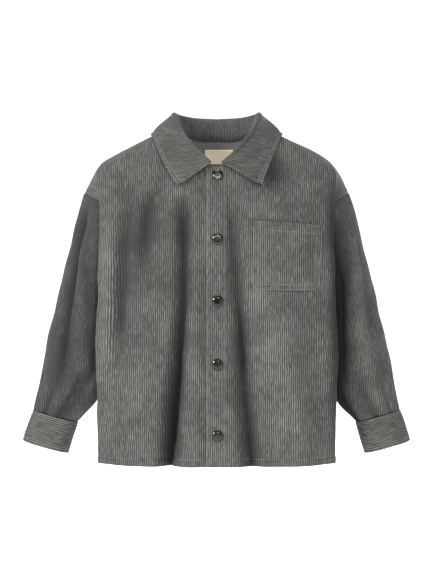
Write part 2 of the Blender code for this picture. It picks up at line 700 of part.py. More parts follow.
def snap(tree, number, z):
    """A snap's domed metal cap with a rolled rim, turned about the line out of the placket."""
    point, normal = on_front(tree, SNAP_X, z)
    mesh = bpy.data.meshes.new(f"snap_{number}")
    shape = bmesh.new()
    verts = [shape.verts.new((radius, 0.0, height)) for radius, height in SNAP_PROFILE]
    for pair in zip(verts, verts[1:]):
        shape.edges.new(pair)
    shape.to_mesh(mesh)
    shape.free()
    mesh.materials.append(material("snap_metal", 0.9, 0.3))
    obj = bpy.data.objects.new(f"snap_{number}", mesh)
    parts.objects.link(obj)
    turn = obj.modifiers.new("turn", "SCREW")
    turn.steps = SNAP_STEPS
    turn.render_steps = SNAP_STEPS
    turn.use_merge_vertices = True
    turn.merge_threshold = TINY
    obj.rotation_euler = normal.to_track_quat("Z", "Y").to_euler()
    obj.location = point
    return obj


def inside_back(tree, name, middle, top, width, height):
    """A bare label inside the back of the neck, against the cloth."""
    def place(across, down):
        points = []
        for a, d in zip(across, down):
            x = middle + (a - 0.5) * width
            z = top - d * height
            point, _, _, _ = tree.ray_cast(Vector((x, FAR, z)), Vector((0, -1, 0)))
            points.append(point - Vector((0, WALL + LABEL_WALL + LABEL_GAP, 0)))
        return np.array(points)
    return sheet(name, np.linspace(0, 1, 5), np.linspace(0, 1, 4), place, LABEL_WALL, colour="label_cloth")


clear_scene()
parts = bpy.data.collections.new("shacket")
bpy.context.scene.collection.children.link(parts)

front_panel(-1)
front_panel(1)
back_panel()
placket()
for side in (-1, 1):
    sleeve(side)
    cuff(side)
collar(outer_tree("front_right", "front_left", "back", "placket"))
pocket(outer_tree("front_left"))
for number, height in enumerate(SNAP_HEIGHTS, start=1):
    snap(outer_tree("placket"), number, height)
back_tree = outer_tree("back")
inside_back(back_tree, "label", LABEL_X, LABEL_TOP, LABEL_WIDTH, LABEL_HEIGHT)
inside_back(back_tree, "size_tab", TAB_X, TAB_TOP, TAB_WIDTH, TAB_HEIGHT)
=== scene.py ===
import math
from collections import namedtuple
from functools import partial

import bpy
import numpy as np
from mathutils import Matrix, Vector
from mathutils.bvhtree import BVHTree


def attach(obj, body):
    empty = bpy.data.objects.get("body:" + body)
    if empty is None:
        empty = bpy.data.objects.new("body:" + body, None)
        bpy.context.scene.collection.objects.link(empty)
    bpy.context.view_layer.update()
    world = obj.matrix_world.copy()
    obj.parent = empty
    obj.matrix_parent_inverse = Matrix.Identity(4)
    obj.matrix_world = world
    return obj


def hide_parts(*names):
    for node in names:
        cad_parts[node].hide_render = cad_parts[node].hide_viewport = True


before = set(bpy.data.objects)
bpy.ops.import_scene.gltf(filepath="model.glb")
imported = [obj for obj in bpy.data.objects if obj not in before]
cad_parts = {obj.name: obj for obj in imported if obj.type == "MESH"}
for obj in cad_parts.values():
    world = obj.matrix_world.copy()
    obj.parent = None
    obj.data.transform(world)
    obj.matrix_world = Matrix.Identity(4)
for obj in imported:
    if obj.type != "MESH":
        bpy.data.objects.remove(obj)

# %% [markdown]
# # A child's corduroy shacket
#
# The jacket hangs as if an invisible child wore it: two fronts that lap at a placket with five snaps, a
# back, a turned-down collar, drop-shouldered sleeves with cuffs, and one chest pocket. The frame that was
# just loaded holds its walls as plain solids. Here each piece of cloth is laid out again on the same
# curves, but with its wales, seams, stitches and creases. Everything is in metres. The front faces -Y, the
# wearer's left is +X, and the origin is the middle of the neck.

bpy.context.view_layer.update()

# %% [markdown]
# ## The camera comes first
#
# Every size was read off the photograph at one scale, so the camera is the ruler. A snap cap is 15 mm
# across and spans 11 pixels, which makes a pixel 1.36 mm at the placket. A long lens, three metres away and
# level with the middle of the jacket, shows the sides almost without perspective, as the photograph does.

# %% Camera
CAMERA_SPOT = (0.0005, -3.0, -0.2198)
LENS = 137.2

bpy.ops.object.camera_add(location=CAMERA_SPOT, rotation=(math.pi / 2, 0, 0))
camera = bpy.context.object
camera.data.lens = LENS
camera.data.sensor_width = 36.0
bpy.context.scene.camera = camera
print("camera at", CAMERA_SPOT)

# %% [markdown]
# ## The cut
#
# A garment is a few curves sewn together. Each half of the body is a table of sections from neck to hem,
# and each sleeve a table of rings. A smooth curve through the rows gives a point for every place on the
# cloth, so the pieces meet along shared seams without any fitting. The tables are those of the solids.

# %% Sections of the body
# Where the underarm lies, as a share of the way from shoulder seam to hem
UNDERARM = 0.49

# Stations across a half of the body, measured on the cloth from its centre line
STATIONS = (0.0, 0.024, 0.046, 0.064, 0.110, 0.158, 0.171, 0.208)
SHARES = (0.0, 0.07, 0.20, 0.33, UNDERARM, 0.73, 1.0)

# A section of a half of the body, from neck and shoulder seam to hem. The first five columns hold depth and
# height at x equal to the station, and the last three hold x, depth and height: at the fold beside the arm,
# in the crease behind it, and at the armhole or the side seam.
Section = namedtuple("Section", "centre hollow curve neck middle fold crease edge")

FRONT = (
    Section((-.0610, -.0570), (-.0590, -.0510), (-.0460, -.0320), (-.0020, -.0030), (.0030, -.0205),
            (.1530, .0050, -.0440), (.1660, .0070, -.0590), (.1810, .0100, -.0870)),
    Section((-.0670, -.0760), (-.0660, -.0710), (-.0610, -.0560), (-.0440, -.0330), (-.0300, -.0380),
            (.1580, -.0230, -.0600), (.1650, -.0130, -.0710), (.1715, -.0090, -.0945)),
    Section((-.0740, -.1050), (-.0740, -.1020), (-.0720, -.0960), (-.0680, -.0880), (-.0580, -.0850),
            (.1570, -.0410, -.0950), (.1560, -.0310, -.0990), (.1560, -.0250, -.1050)),
    Section((-.0800, -.1500), (-.0800, -.1500), (-.0790, -.1490), (-.0770, -.1480), (-.0690, -.1470),
            (.1560, -.0470, -.1470), (.1550, -.0340, -.1470), (.1490, -.0210, -.1480)),
    Section((-.0830, -.2220), (-.0830, -.2220), (-.0820, -.2220), (-.0800, -.2220), (-.0720, -.2220),
            (.1580, -.0470, -.2220), (.1570, -.0320, -.2220), (.1430, .0140, -.2260)),
    Section((-.0840, -.3350), (-.0840, -.3350), (-.0830, -.3350), (-.0810, -.3350), (-.0740, -.3350),
            (.1600, -.0460, -.3350), (.1590, -.0310, -.3350), (.1430, .0140, -.3360)),
    Section((-.0840, -.4550), (-.0840, -.4550), (-.0830, -.4550), (-.0810, -.4548), (-.0730, -.4545),
            (.1560, -.0420, -.4530), (.1600, -.0270, -.4525), (.1580, .0140, -.4520)),
)
BACK = (
    Section((.0500, -.0130), (.0470, -.0125), (.0340, -.0090), (-.0020, -.0030), (.0030, -.0205),
            (.1530, .0050, -.0440), (.1660, .0070, -.0590), (.1810, .0100, -.0870)),
    Section((.0610, -.0350), (.0590, -.0350), (.0530, -.0320), (.0400, -.0260), (.0360, -.0370),
            (.1550, .0350, -.0610), (.1650, .0330, -.0720), (.1740, .0280, -.0930)),
    Section((.0720, -.0920), (.0715, -.0920), (.0700, -.0900), (.0680, -.0880), (.0620, -.0910),
            (.1500, .0540, -.1000), (.1590, .0490, -.1030), (.1670, .0430, -.1070)),
    Section((.0780, -.1500), (.0780, -.1500), (.0770, -.1500), (.0755, -.1500), (.0700, -.1500),
            (.1400, .0590, -.1500), (.1470, .0550, -.1500), (.1520, .0490, -.1500)),
    Section((.0800, -.2220), (.0800, -.2220), (.0795, -.2220), (.0780, -.2220), (.0715, -.2220),
            (.1320, .0560, -.2220), (.1380, .0440, -.2230), (.1430, .0140, -.2260)),
    Section((.0800, -.3350), (.0800, -.3350), (.0795, -.3350), (.0780, -.3350), (.0720, -.3350),
            (.1340, .0560, -.3350), (.1400, .0440, -.3350), (.1430, .0140, -.3360)),
    Section((.0800, -.4530), (.0800, -.4530), (.0795, -.4530), (.0785, -.4530), (.0720, -.4530),
            (.1450, .0520, -.4525), (.1530, .0380, -.4520), (.1580, .0140, -.4520)),
)
# %% [markdown]
# A smooth curve through the rows of a table is a Hermite curve: it passes through every row, with slopes
# taken from the rows on either side. The same function gives the places along every line in this lesson.

# %% Smooth curves
def through(knots, values, at):
    """Points at parameters `at` of a smooth curve that passes through `values` at `knots`."""
    knots = np.asarray(knots, float)
    values = np.asarray(values, float)
    at = np.clip(np.asarray(at, float), knots[0], knots[-1])
    lower = np.clip(np.searchsorted(knots, at, side="right") - 1, 0, len(knots) - 2)
    before = np.maximum(np.arange(len(knots)) - 1, 0)
    after = np.minimum(np.arange(len(knots)) + 1, len(knots) - 1)
    upright = (-1, *[1] * (values.ndim - 1))
    slopes = (values[after] - values[before]) / (knots[after] - knots[before]).reshape(upright)
    step = (knots[lower + 1] - knots[lower]).reshape(upright)
    share = (at - knots[lower]).reshape(upright) / step
    square, cube = share**2, share**3
    return ((2 * cube - 3 * square + 1) * values[lower] + (3 * square - 2 * cube) * values[lower + 1]
            + (cube - 2 * square + share) * step * slopes[lower]
            + (cube - square) * step * slopes[lower + 1])


def weights(knots, at):
    """What each knot's value counts for, at parameters `at` of a smooth curve."""
    return through(knots, np.eye(len(knots)), at)


def smooth_step(x):
    x = np.clip(x, 0.0, 1.0)
    return x * x * (3.0 - 2.0 * x)


def unit(vectors):
    return vectors / np.maximum(np.linalg.norm(vectors, axis=1, keepdims=True), 1e-9)


def length_along(line, axis=0):
    """How far along a line of points each point lies, in metres."""
    reach = np.cumsum(np.linalg.norm(np.diff(line, axis=axis), axis=-1), axis=axis)
    return np.insert(reach, 0, 0, axis=axis)


def on_grid(surface, *places):
    """Points of a surface at a grid of places, as an array of row, column and coordinate."""
    return surface(*[place.ravel() for place in places]).reshape(*places[0].shape, 3)


def hand(side):
    """The wearer's side that a sign stands for: +1 is left, as +X is."""
    return "left" if side > 0 else "right"

# %% A half of the body
def control_net(sections):
    """Points of the sections at the stations, as an array of section, station and coordinate."""
    rows = []
    for section in sections:
        row = [(x, *pair) for x, pair in zip(STATIONS, section[:5])]
        rows.append(row + list(section[5:]))
    return np.array(rows)


NETS = {"front": control_net(FRONT), "back": control_net(BACK)}


def net_points(face, station, share):
    return np.einsum("nr,nc,rcp->np", weights(SHARES, share), weights(STATIONS, station), NETS[face])


def plain_body(face, side, station, share):
    """Points of a face of the body, before its folds. A negative station is past the centre line."""
    station, share = np.asarray(station, float), np.asarray(share, float)
    across = np.abs(station)
    points = net_points(face, across, share)
    other = "back" if face == "front" else "front"
    top, last = np.zeros_like(share), np.full_like(share, STATIONS[7])
    to_shoulder = (net_points(other, across, top) - net_points(face, across, top)) / 2
    to_side = (net_points(other, last, share) - net_points(face, last, share)) / 2
    near_shoulder = (1 - smooth_step(share / SHARES[1])) * (across > STATIONS[3])
    near_side = smooth_step((across - STATIONS[6]) / (STATIONS[7] - STATIONS[6])) * (share > UNDERARM)
    points += to_shoulder * near_shoulder[:, None] + to_side * near_side[:, None]
    points[:, 0] *= np.where(station < 0, -side, side)
    return points

print("hem at the middle:", net_points("front", np.zeros(1), np.ones(1)).round(4))

# %% [markdown]
# ## Folds and creases
#
# Loose cloth falls in long folds from the collar points and the chest. Each is a row: the fold's line
# through three heights, its reach to either side, and how deep it sinks. The first table of each face is
# the one that the solids have. The creases after it are narrower, and only the finished cloth has them.

# %% Folds
# Folds of the body: the crest's or the trough's x and height at its top, middle and foot, how far it
# reaches to its left and right, and how deep it sinks in (a ridge stands out, so its depth is negative).
Fold = namedtuple("Fold", "top middle foot left right depth")

FRONT_FOLDS = (
    Fold((-.0450, -.085), (-.0460, -.230), (-.0645, -.500), .0110, .0140, .0150),
    Fold((-.0240, -.150), (-.0250, -.300), (-.0300, -.500), .0140, .0120, -.0030),
    Fold((.0170, -.085), (.0260, -.240), (.0460, -.500), .0110, .0140, .0120),
    Fold((.0450, -.190), (.0900, -.305), (.1200, -.500), .0260, .0200, -.0060),
    Fold((-.1170, -.110), (-.1300, -.200), (-.1380, -.350), .0110, .0130, .0050),
    Fold((-.0700, -.070), (-.0900, -.110), (-.0960, -.170), .0100, .0120, .0035),
    Fold((-.0760, -.270), (-.1000, -.350), (-.1200, -.440), .0150, .0170, -.0045),
    Fold((.1180, -.240), (.1300, -.340), (.1380, -.430), .0140, .0130, .0030),
)
BACK_FOLDS = (
    Fold((.0420, -.130), (.0520, -.290), (.0640, -.500), .0150, .0130, .0085),
    Fold((-.0300, -.110), (-.0420, -.260), (-.0560, -.500), .0130, .0160, .0080),
    Fold((.0050, -.180), (.0080, -.320), (.0120, -.500), .0180, .0180, -.0045),
    Fold((.0950, -.160), (.1000, -.280), (.0980, -.400), .0150, .0150, .0040),
    Fold((-.0950, -.150), (-.0920, -.260), (-.0980, -.420), .0160, .0140, .0045),
)

# A fold fades in and out over this height, has this share of its depth at its top, and dies away at the
# seams
FOLD_FADE = 0.045
FOLD_START = 0.45
FOLD_EDGE = 0.020
FRONT_CREASES = (
    Fold((-.0422, -.080), (-.0428, -.240), (-.0700, -.500), .0090, .0056, .0165),
    Fold((-.0330, -.100), (-.0365, -.260), (-.0450, -.520), .0070, .0080, -.0032),
    Fold((-.0500, -.280), (-.0590, -.360), (-.0740, -.500), .0115, .0080, .0085),
    Fold((.0160, -.090), (.0275, -.210), (.0400, -.350), .0055, .0060, .0080),
    Fold((.0310, -.230), (.0360, -.330), (.0545, -.500), .0055, .0105, .0110),
    Fold((-.0530, -.045), (-.0875, -.103), (-.1000, -.200), .0110, .0100, .0105),
    Fold((-.1110, -.075), (-.1270, -.180), (-.1320, -.300), .0090, .0095, .0100),
    Fold((-.1440, -.100), (-.1455, -.200), (-.1450, -.340), .0070, .0055, -.0024),
    Fold((.0985, -.345), (.0990, -.390), (.0995, -.445), .0036, .0036, .0030),
    Fold((-.0980, -.350), (-.1010, -.400), (-.1030, -.470), .0060, .0060, .0022),
    Fold((.1230, -.110), (.1290, -.160), (.1330, -.230), .0060, .0060, .0030),
    Fold((.0700, -.060), (.0900, -.090), (.1050, -.150), .0090, .0080, .0022),
)
BACK_CREASES = (
    Fold((.0425, -.120), (.0520, -.290), (.0640, -.520), .0050, .0060, .0045),
    Fold((-.0305, -.100), (-.0425, -.260), (-.0560, -.520), .0055, .0050, .0045),
    Fold((.0960, -.150), (.1005, -.280), (.0990, -.420), .0055, .0055, .0028),
    Fold((-.0950, -.140), (-.0925, -.260), (-.0980, -.430), .0055, .0050, .0030),
    Fold((-.1160, -.080), (-.1230, -.140), (-.1270, -.230), .0060, .0070, .0032),
    Fold((.1170, -.080), (.1240, -.150), (.1270, -.240), .0070, .0060, .0030),
)

ALL_FOLDS = {"front": FRONT_FOLDS + FRONT_CREASES, "back": BACK_FOLDS + BACK_CREASES}

# %% The body with its folds
BODY_NUDGE = 0.002


def fold_depth(face, x, z):
    """How far the folds of a face of the body sink it in, at each x and height."""
    total = np.zeros_like(x)
    for fold in ALL_FOLDS[face]:
        heights = [fold.foot[1], fold.middle[1], fold.top[1]]
        line = through(heights, [fold.foot[0], fold.middle[0], fold.top[0]], z)
        reach = np.where(x < line, fold.left, fold.right)
        along = smooth_step((fold.top[1] - z) / FOLD_FADE) * smooth_step((z - fold.foot[1]) / FOLD_FADE)
        grown = FOLD_START + (1 - FOLD_START) * smooth_step((fold.top[1] - z) / (fold.top[1] - fold.foot[1]))
        total += fold.depth * along * grown * np.exp(-(((x - line) / reach) ** 2))
    return total


def body(face, side, station, share):
    """Points of a face of the body with its folds."""
    points = plain_body(face, side, station, share)
    station, share = np.asarray(station, float), np.asarray(share, float)
    along = (plain_body(face, side, station + BODY_NUDGE, share)
             - plain_body(face, side, station - BODY_NUDGE, share))
    down = (plain_body(face, side, station, np.minimum(share + BODY_NUDGE, 1))
            - plain_body(face, side, station, np.maximum(share - BODY_NUDGE, 0)))
    normals = unit(np.cross(along, down))
    outward = -1.0 if face == "front" else 1.0
    normals *= np.sign(normals[:, 1:2] * outward + 1e-9)
    inside = smooth_step((STATIONS[6] - np.abs(station)) / FOLD_EDGE)
    depth = fold_depth(face, points[:, 0], points[:, 2]) * inside
    return points - normals * depth[:, None]

# %% [markdown]
# ## Sleeves
#
# A sleeve starts at the armhole, which is the end of the body's own surface, so the two share their seam.
# From there it passes through rings that are flattened as a hanging sleeve is, down to the cuff. An angle
# says where a point lies round it: 0 on top, 90 in front, 180 at the underarm seam.

# %% Rings of the sleeves
# Rings of a sleeve below the armhole: its outer and its inner edge as x and height, the depth of its
# middle, and half its size from front to back. The last ring is sewn to the cuff.
Ring = namedtuple("Ring", "outer inner depth half")

SLEEVE_RINGS = (
    Ring((.1905, -.1220), (.1580, -.2490), .0170, .0370),
    Ring((.2040, -.1760), (.1550, -.2860), .0210, .0400),
    Ring((.2180, -.2330), (.1545, -.3190), .0230, .0410),
    Ring((.2310, -.2880), (.1560, -.3480), .0230, .0400),
    Ring((.2415, -.3400), (.1670, -.3750), .0210, .0350),
    Ring((.2500, -.3835), (.1890, -.4005), .0180, .0285),
)
CUFF_RINGS = (
    Ring((.2502, -.3840), (.1892, -.4010), .0180, .0290),
    Ring((.2645, -.4255), (.2025, -.4430), .0160, .0285),
)
SLEEVE_ROUNDNESS = 0.90

# Where the armhole and the rings lie along a sleeve
RING_PLACES = (0.0, .16, .34, .53, .71, .87, 1.0)

# Folds of a sleeve: where they lie round it at their top and foot (degrees from its outer edge, 90 at the
# front), where they start and end along it, their reach round it and their depth. They fade in and out, and
# none reaches the armhole.
SLEEVE_FOLD_FADE = 0.16
SLEEVE_FOLD_FROM = 0.14
SleeveFold = namedtuple("SleeveFold", "top foot start end reach depth")

SLEEVE_FOLDS = {
    "right": (
        SleeveFold(34, 78, -.05, .86, 19, .0055),
        SleeveFold(62, 116, .10, .80, 20, -.0030),
        SleeveFold(128, 104, .62, 1.10, 14, .0045),
        SleeveFold(66, 60, .78, 1.15, 12, .0030),
        SleeveFold(250, 262, .10, .90, 24, .0045),
        SleeveFold(300, 288, .45, 1.05, 18, .0035),
    ),
    "left": (
        SleeveFold(70, 84, .05, .95, 24, -.0035),
        SleeveFold(112, 128, .08, .80, 20, .0040),
        SleeveFold(44, 56, .35, .95, 18, .0025),
        SleeveFold(104, 96, .70, 1.12, 13, .0035),
        SleeveFold(256, 268, .12, .90, 24, .0045),
        SleeveFold(304, 290, .40, 1.05, 18, .0035),
    ),
}
SLEEVE_CREASES = {
    "right": (
        SleeveFold(38, 80, .00, .94, 11, .0055),
        SleeveFold(112, 92, .66, 1.12, 6, .0028),
        SleeveFold(30, 118, .30, .52, 10, .0024),
        SleeveFold(28, 96, .56, .74, 9, .0026),
        SleeveFold(70, 62, .80, 1.12, 6, .0022),
        SleeveFold(24, 20, .74, 1.12, 7, .0024),
        SleeveFold(140, 128, .25, .80, 10, .0030),
        SleeveFold(210, 300, .36, .58, 11, .0024),
        SleeveFold(262, 330, .60, .80, 10, .0022),
        SleeveFold(300, 292, .78, 1.12, 7, .0024),
        SleeveFold(334, 330, .82, 1.12, 7, .0020),
        SleeveFold(240, 252, .04, .60, 9, .0026),
    ),
    "left": (
        SleeveFold(112, 126, .04, .85, 8, .0032),
        SleeveFold(44, 60, .10, .70, 8, .0022),
        SleeveFold(26, 108, .34, .54, 10, .0022),
        SleeveFold(34, 100, .58, .76, 9, .0026),
        SleeveFold(100, 92, .72, 1.12, 6, .0026),
        SleeveFold(58, 54, .80, 1.12, 6, .0022),
        SleeveFold(22, 18, .76, 1.12, 7, .0022),
        SleeveFold(214, 304, .34, .56, 11, .0024),
        SleeveFold(256, 328, .62, .82, 10, .0022),
        SleeveFold(302, 292, .78, 1.12, 7, .0024),
        SleeveFold(336, 332, .82, 1.12, 7, .0020),
        SleeveFold(246, 254, .04, .62, 9, .0026),
    ),
}
ANGLE_NUDGE = 2.0
ALONG_NUDGE = 0.01

# %% A sleeve's surface
def arm_place(angle):
    """Where an angle round the sleeve lies on the body: whether in front, and the share of the way down."""
    angle = np.asarray(angle, float) % 360
    front = angle <= 180
    return front, np.where(front, angle, 360 - angle) / 180 * UNDERARM


def armhole(side, angle):
    """Points of the armhole at angles round the sleeve."""
    front, share = arm_place(angle)
    station = np.full_like(share, STATIONS[7])
    ahead = plain_body("front", side, station, share)
    behind = plain_body("back", side, station, share)
    return np.where(front[:, None], ahead, behind)


def ring_points(ring, side, angle):
    turn = np.radians(angle)
    across = np.sign(np.cos(turn)) * np.abs(np.cos(turn)) ** SLEEVE_ROUNDNESS
    ahead = np.sign(np.sin(turn)) * np.abs(np.sin(turn)) ** SLEEVE_ROUNDNESS
    outer, inner = np.array(ring.outer), np.array(ring.inner)
    middle, half = (outer + inner) / 2, (outer - inner) / 2
    x = side * (middle[0] + half[0] * across)
    y = ring.depth - ring.half * ahead
    z = middle[1] + half[1] * across
    return np.stack([x, y, z], axis=1)


def plain_sleeve(side, angle, along):
    """Points of a sleeve before its folds, from the armhole (0) to the cuff (1)."""
    angle = np.asarray(angle, float)
    rings = [ring_points(ring, side, angle) for ring in SLEEVE_RINGS]
    return np.einsum("nr,rnp->np", weights(RING_PLACES, along), np.stack([armhole(side, angle), *rings]))


def sleeve_depth(side, angle, along):
    """How far the folds sink a sleeve in."""
    depth = np.zeros_like(along)
    for fold in SLEEVE_FOLDS[hand(side)] + SLEEVE_CREASES[hand(side)]:
        passed = np.clip((along - fold.start) / (fold.end - fold.start), 0, 1)
        line = fold.top + (fold.foot - fold.top) * passed
        apart = (angle - line + 180) % 360 - 180
        fade = smooth_step((along - fold.start) / SLEEVE_FOLD_FADE)
        fade *= smooth_step((fold.end - along) / SLEEVE_FOLD_FADE)
        depth += fold.depth * fade * np.exp(-((apart / fold.reach) ** 2))
    return depth * smooth_step(along / SLEEVE_FOLD_FROM)


def sleeve_surface(side, angle, along):
    points = plain_sleeve(side, angle, along)
    round_it = plain_sleeve(side, angle + ANGLE_NUDGE, along) - plain_sleeve(side, angle - ANGLE_NUDGE, along)
    down = (plain_sleeve(side, angle, np.minimum(along + ALONG_NUDGE, 1))
            - plain_sleeve(side, angle, np.maximum(along - ALONG_NUDGE, 0)))
    normals = unit(np.cross(round_it, down)) * side
    return points - normals * sleeve_depth(side, angle, along)[:, None]

# %% [markdown]
# ## Corduroy
#
# Corduroy is cut pile that stands in rows, the wales. These are 2.8 mm wide, about nine to the inch, and
# their tops stand 0.85 mm above the ground between them, so they are modelled, not painted: every wale gets
# three columns of the mesh, one in the valley and two on its flanks. Each point also keeps its place on the
# cut cloth in an attribute named `grain`: metres across the wales, and metres along them. The finish reads
# it, so its rows follow the cloth wherever it bends.

# %% Wales
# A wale stands this high from its valley to its top, and this share of that height lies below the cloth's
# face
PITCH = 0.0028
COLUMNS_A_WALE = 3
WALE_HEIGHT = 0.00085
WALE_REST = 0.75
WALE_WEAR = 0.16
WALL = 0.0017


def wale_lift(across, along):
    """How far the pile stands out, for metres across the wales and along them. No two wales are alike."""
    pile = 1 - np.abs(np.cos(math.pi * across / PITCH)) ** 3
    wale = np.floor(across / PITCH)
    worn = np.sin(wale * 2.4 + along * 95) * np.sin(wale * 5.1 + along * 41)
    worn += np.sin(wale * 3.7 + along * 210) * 0.5
    return WALE_HEIGHT * (pile * (1 + WALE_WEAR * worn) - WALE_REST)


def wale_columns(first, last):
    """Columns from first to last, in metres across the wales, three to a wale."""
    step = PITCH / COLUMNS_A_WALE
    inner = np.arange(math.ceil(first / step), math.floor(last / step) + 1) * step
    return np.unique(np.round([first, *inner, last], 6))


def groove(distance, depth, width):
    """A seam or a row of stitches pulls the cloth in along a line."""
    return -depth * np.exp(-((distance / width) ** 2))

# %% [markdown]
# Cloth is never quite even. A few long waves, each a row of how fast it runs along X, Y and Z, its start
# and its height, keep the light from sliding over it too smoothly.

# %% Slow waves
Wave = namedtuple("Wave", "x y z start height")
WAVES = (
    Wave(61, 40, 23, 0.4, .00050), Wave(-37, 52, 57, 1.9, .00055), Wave(118, -60, 34, 3.1, .00028),
    Wave(83, 71, -96, 5.0, .00026), Wave(-29, 33, 141, 2.2, .00022), Wave(171, 90, 63, 0.9, .00014),
)


def slow_waves(points):
    total = np.zeros(points.shape[:-1])
    for wave in WAVES:
        turn = points[..., 0] * wave.x + points[..., 1] * wave.y + points[..., 2] * wave.z + wave.start
        total += wave.height * np.sin(turn)
    return total

# %% [markdown]
# ## From a grid to cloth
#
# Each piece starts as Blender's grid, with a vertex for every place on the cloth. Its points are moved to
# the curves, points that fall together at a seam are merged, and the cloth is pulled in at seams and
# stitches. Then Solidify gives it a wall, with the wrong side of the cloth inside, and only then does the
# right side get its wales. A wall made last would repeat every wale on the wrong side, which is plain on
# the real cloth.

# %% Cloth from a grid
MERGE = 1e-5


def new_grid(name, points, grain, form, pile, wear_and_painted_shade):
    """Blender's grid with its vertices moved to points, an array of row, column and coordinate."""
    rows, columns = points.shape[:2]
    bpy.ops.object.select_all(action="DESELECT")
    bpy.ops.mesh.primitive_grid_add(x_subdivisions=columns - 1, y_subdivisions=rows - 1, size=2.0)
    obj = bpy.context.object
    obj.name = obj.data.name = f"cloth_{name}"
    spots = np.array([v.co for v in obj.data.vertices])
    column = np.rint((spots[:, 0] + 1) / 2 * (columns - 1)).astype(int)
    row = np.rint((1 - spots[:, 1]) / 2 * (rows - 1)).astype(int)
    obj.data.vertices.foreach_set("co", points[row, column].ravel())
    keep = obj.data.attributes.new("grain", "FLOAT_VECTOR", "POINT")
    keep.data.foreach_set("vector", np.concatenate(
        [grain[row, column], np.zeros((len(row), 1))], axis=1).ravel())
    for label, values in (("form", form), ("pile", pile), ("wear_and_painted_shade", wear_and_painted_shade)):
        keep = obj.data.attributes.new(label, "FLOAT", "POINT")
        keep.data.foreach_set("value", values[row, column].ravel())
    return obj


def read(collection, key, width):
    values = np.empty(len(collection) * width)
    collection.foreach_get(key, values)
    return values.reshape(-1, width)


def edit(step, **settings):
    """Takes one step in edit mode on the whole of the active mesh."""
    bpy.ops.object.mode_set(mode="EDIT")
    bpy.ops.mesh.select_all(action="SELECT")
    step(**settings)
    bpy.ops.object.mode_set(mode="OBJECT")


def face_outwards(obj, outward):
    """Merges seams, and turns the faces over unless they look along outward, or else away from the middle."""
    edit(bpy.ops.mesh.remove_doubles, threshold=MERGE)
    normals = read(obj.data.vertex_normals, "vector", 3)
    spots = read(obj.data.vertices, "co", 3)
    away = (spots - spots.mean(axis=0)) * (1, 1, 0) if outward is None else np.array(outward)
    if np.sum(normals * away) < 0:
        edit(bpy.ops.mesh.flip_normals)


def cloth(name, points, across, along, form, outward, wall, finishes, pile=None, wear_and_painted_shade=0.0):
    """A piece of cloth with a wall. Both of its sides follow form, and the pile stands on the right side.

    Across and along are each point's metres across the wales and along them.
    """
    grain = np.stack([across, along], axis=-1)
    pile = wale_lift(across, along) if pile is None else pile
    obj = new_grid(name, points, grain, form, pile, np.zeros_like(form) + wear_and_painted_shade)
    face_outwards(obj, outward)
    for finish in finishes:
        obj.data.materials.append(finish)
    normals = read(obj.data.vertex_normals, "vector", 3)
    plain = read(obj.data.vertices, "co", 3) + normals * read(obj.data.attributes["form"].data, "value", 1)
    obj.data.vertices.foreach_set("co", plain.ravel())
    obj.data.update()
    heights = read(obj.data.attributes["pile"].data, "value", 1)
    solid = obj.modifiers.new("wall", "SOLIDIFY")
    solid.thickness = wall
    solid.offset = -1.0
    solid.material_offset = len(finishes) - 1
    bpy.ops.object.modifier_apply(modifier="wall")
    spots = read(obj.data.vertices, "co", 3)
    first = 0 if np.abs(spots[:len(plain)] - plain).max() < MERGE else len(plain)
    spots[first:first + len(plain)] += normals * heights
    obj.data.vertices.foreach_set("co", spots.ravel())
    for label in ("form", "pile"):
        obj.data.attributes.remove(obj.data.attributes[label])
    obj.data.update()
    obj.data.shade_smooth()
    print(name, "has", sum(len(face.vertices) - 2 for face in obj.data.polygons), "triangles")
    return obj

# %% [markdown]
# ## Finishes
#
# A finish is a few numbers worked out at every point: where it lies on a wale, how worn the pile is and how
# much light or shade is painted on it, how long the fibres' streaks are. Shader nodes do such sums, and a
# small class lets them be written as plain Python.

# %% Sums on sockets
class Value:
    """A socket's output. Sums of values add the Math nodes that work them out."""

    def __init__(self, finish, socket):
        self.finish, self.socket = finish, socket

    def _sum(self, operation, first, second=0.0):
        return self.finish.node("ShaderNodeMath", {"operation": operation}, {0: first, 1: second})

    def __add__(self, other):
        return self._sum("ADD", self, other)

    __radd__ = __add__

    def __sub__(self, other):
        return self._sum("SUBTRACT", self, other)

    def __rsub__(self, other):
        return self._sum("SUBTRACT", other, self)

    def __mul__(self, other):
        return self._sum("MULTIPLY", self, other)

    __rmul__ = __mul__

    def __pow__(self, other):
        return self._sum("POWER", self, other)

    def __abs__(self):
        return self._sum("ABSOLUTE", self)

    def cosine(self):
        return self._sum("COSINE", self)


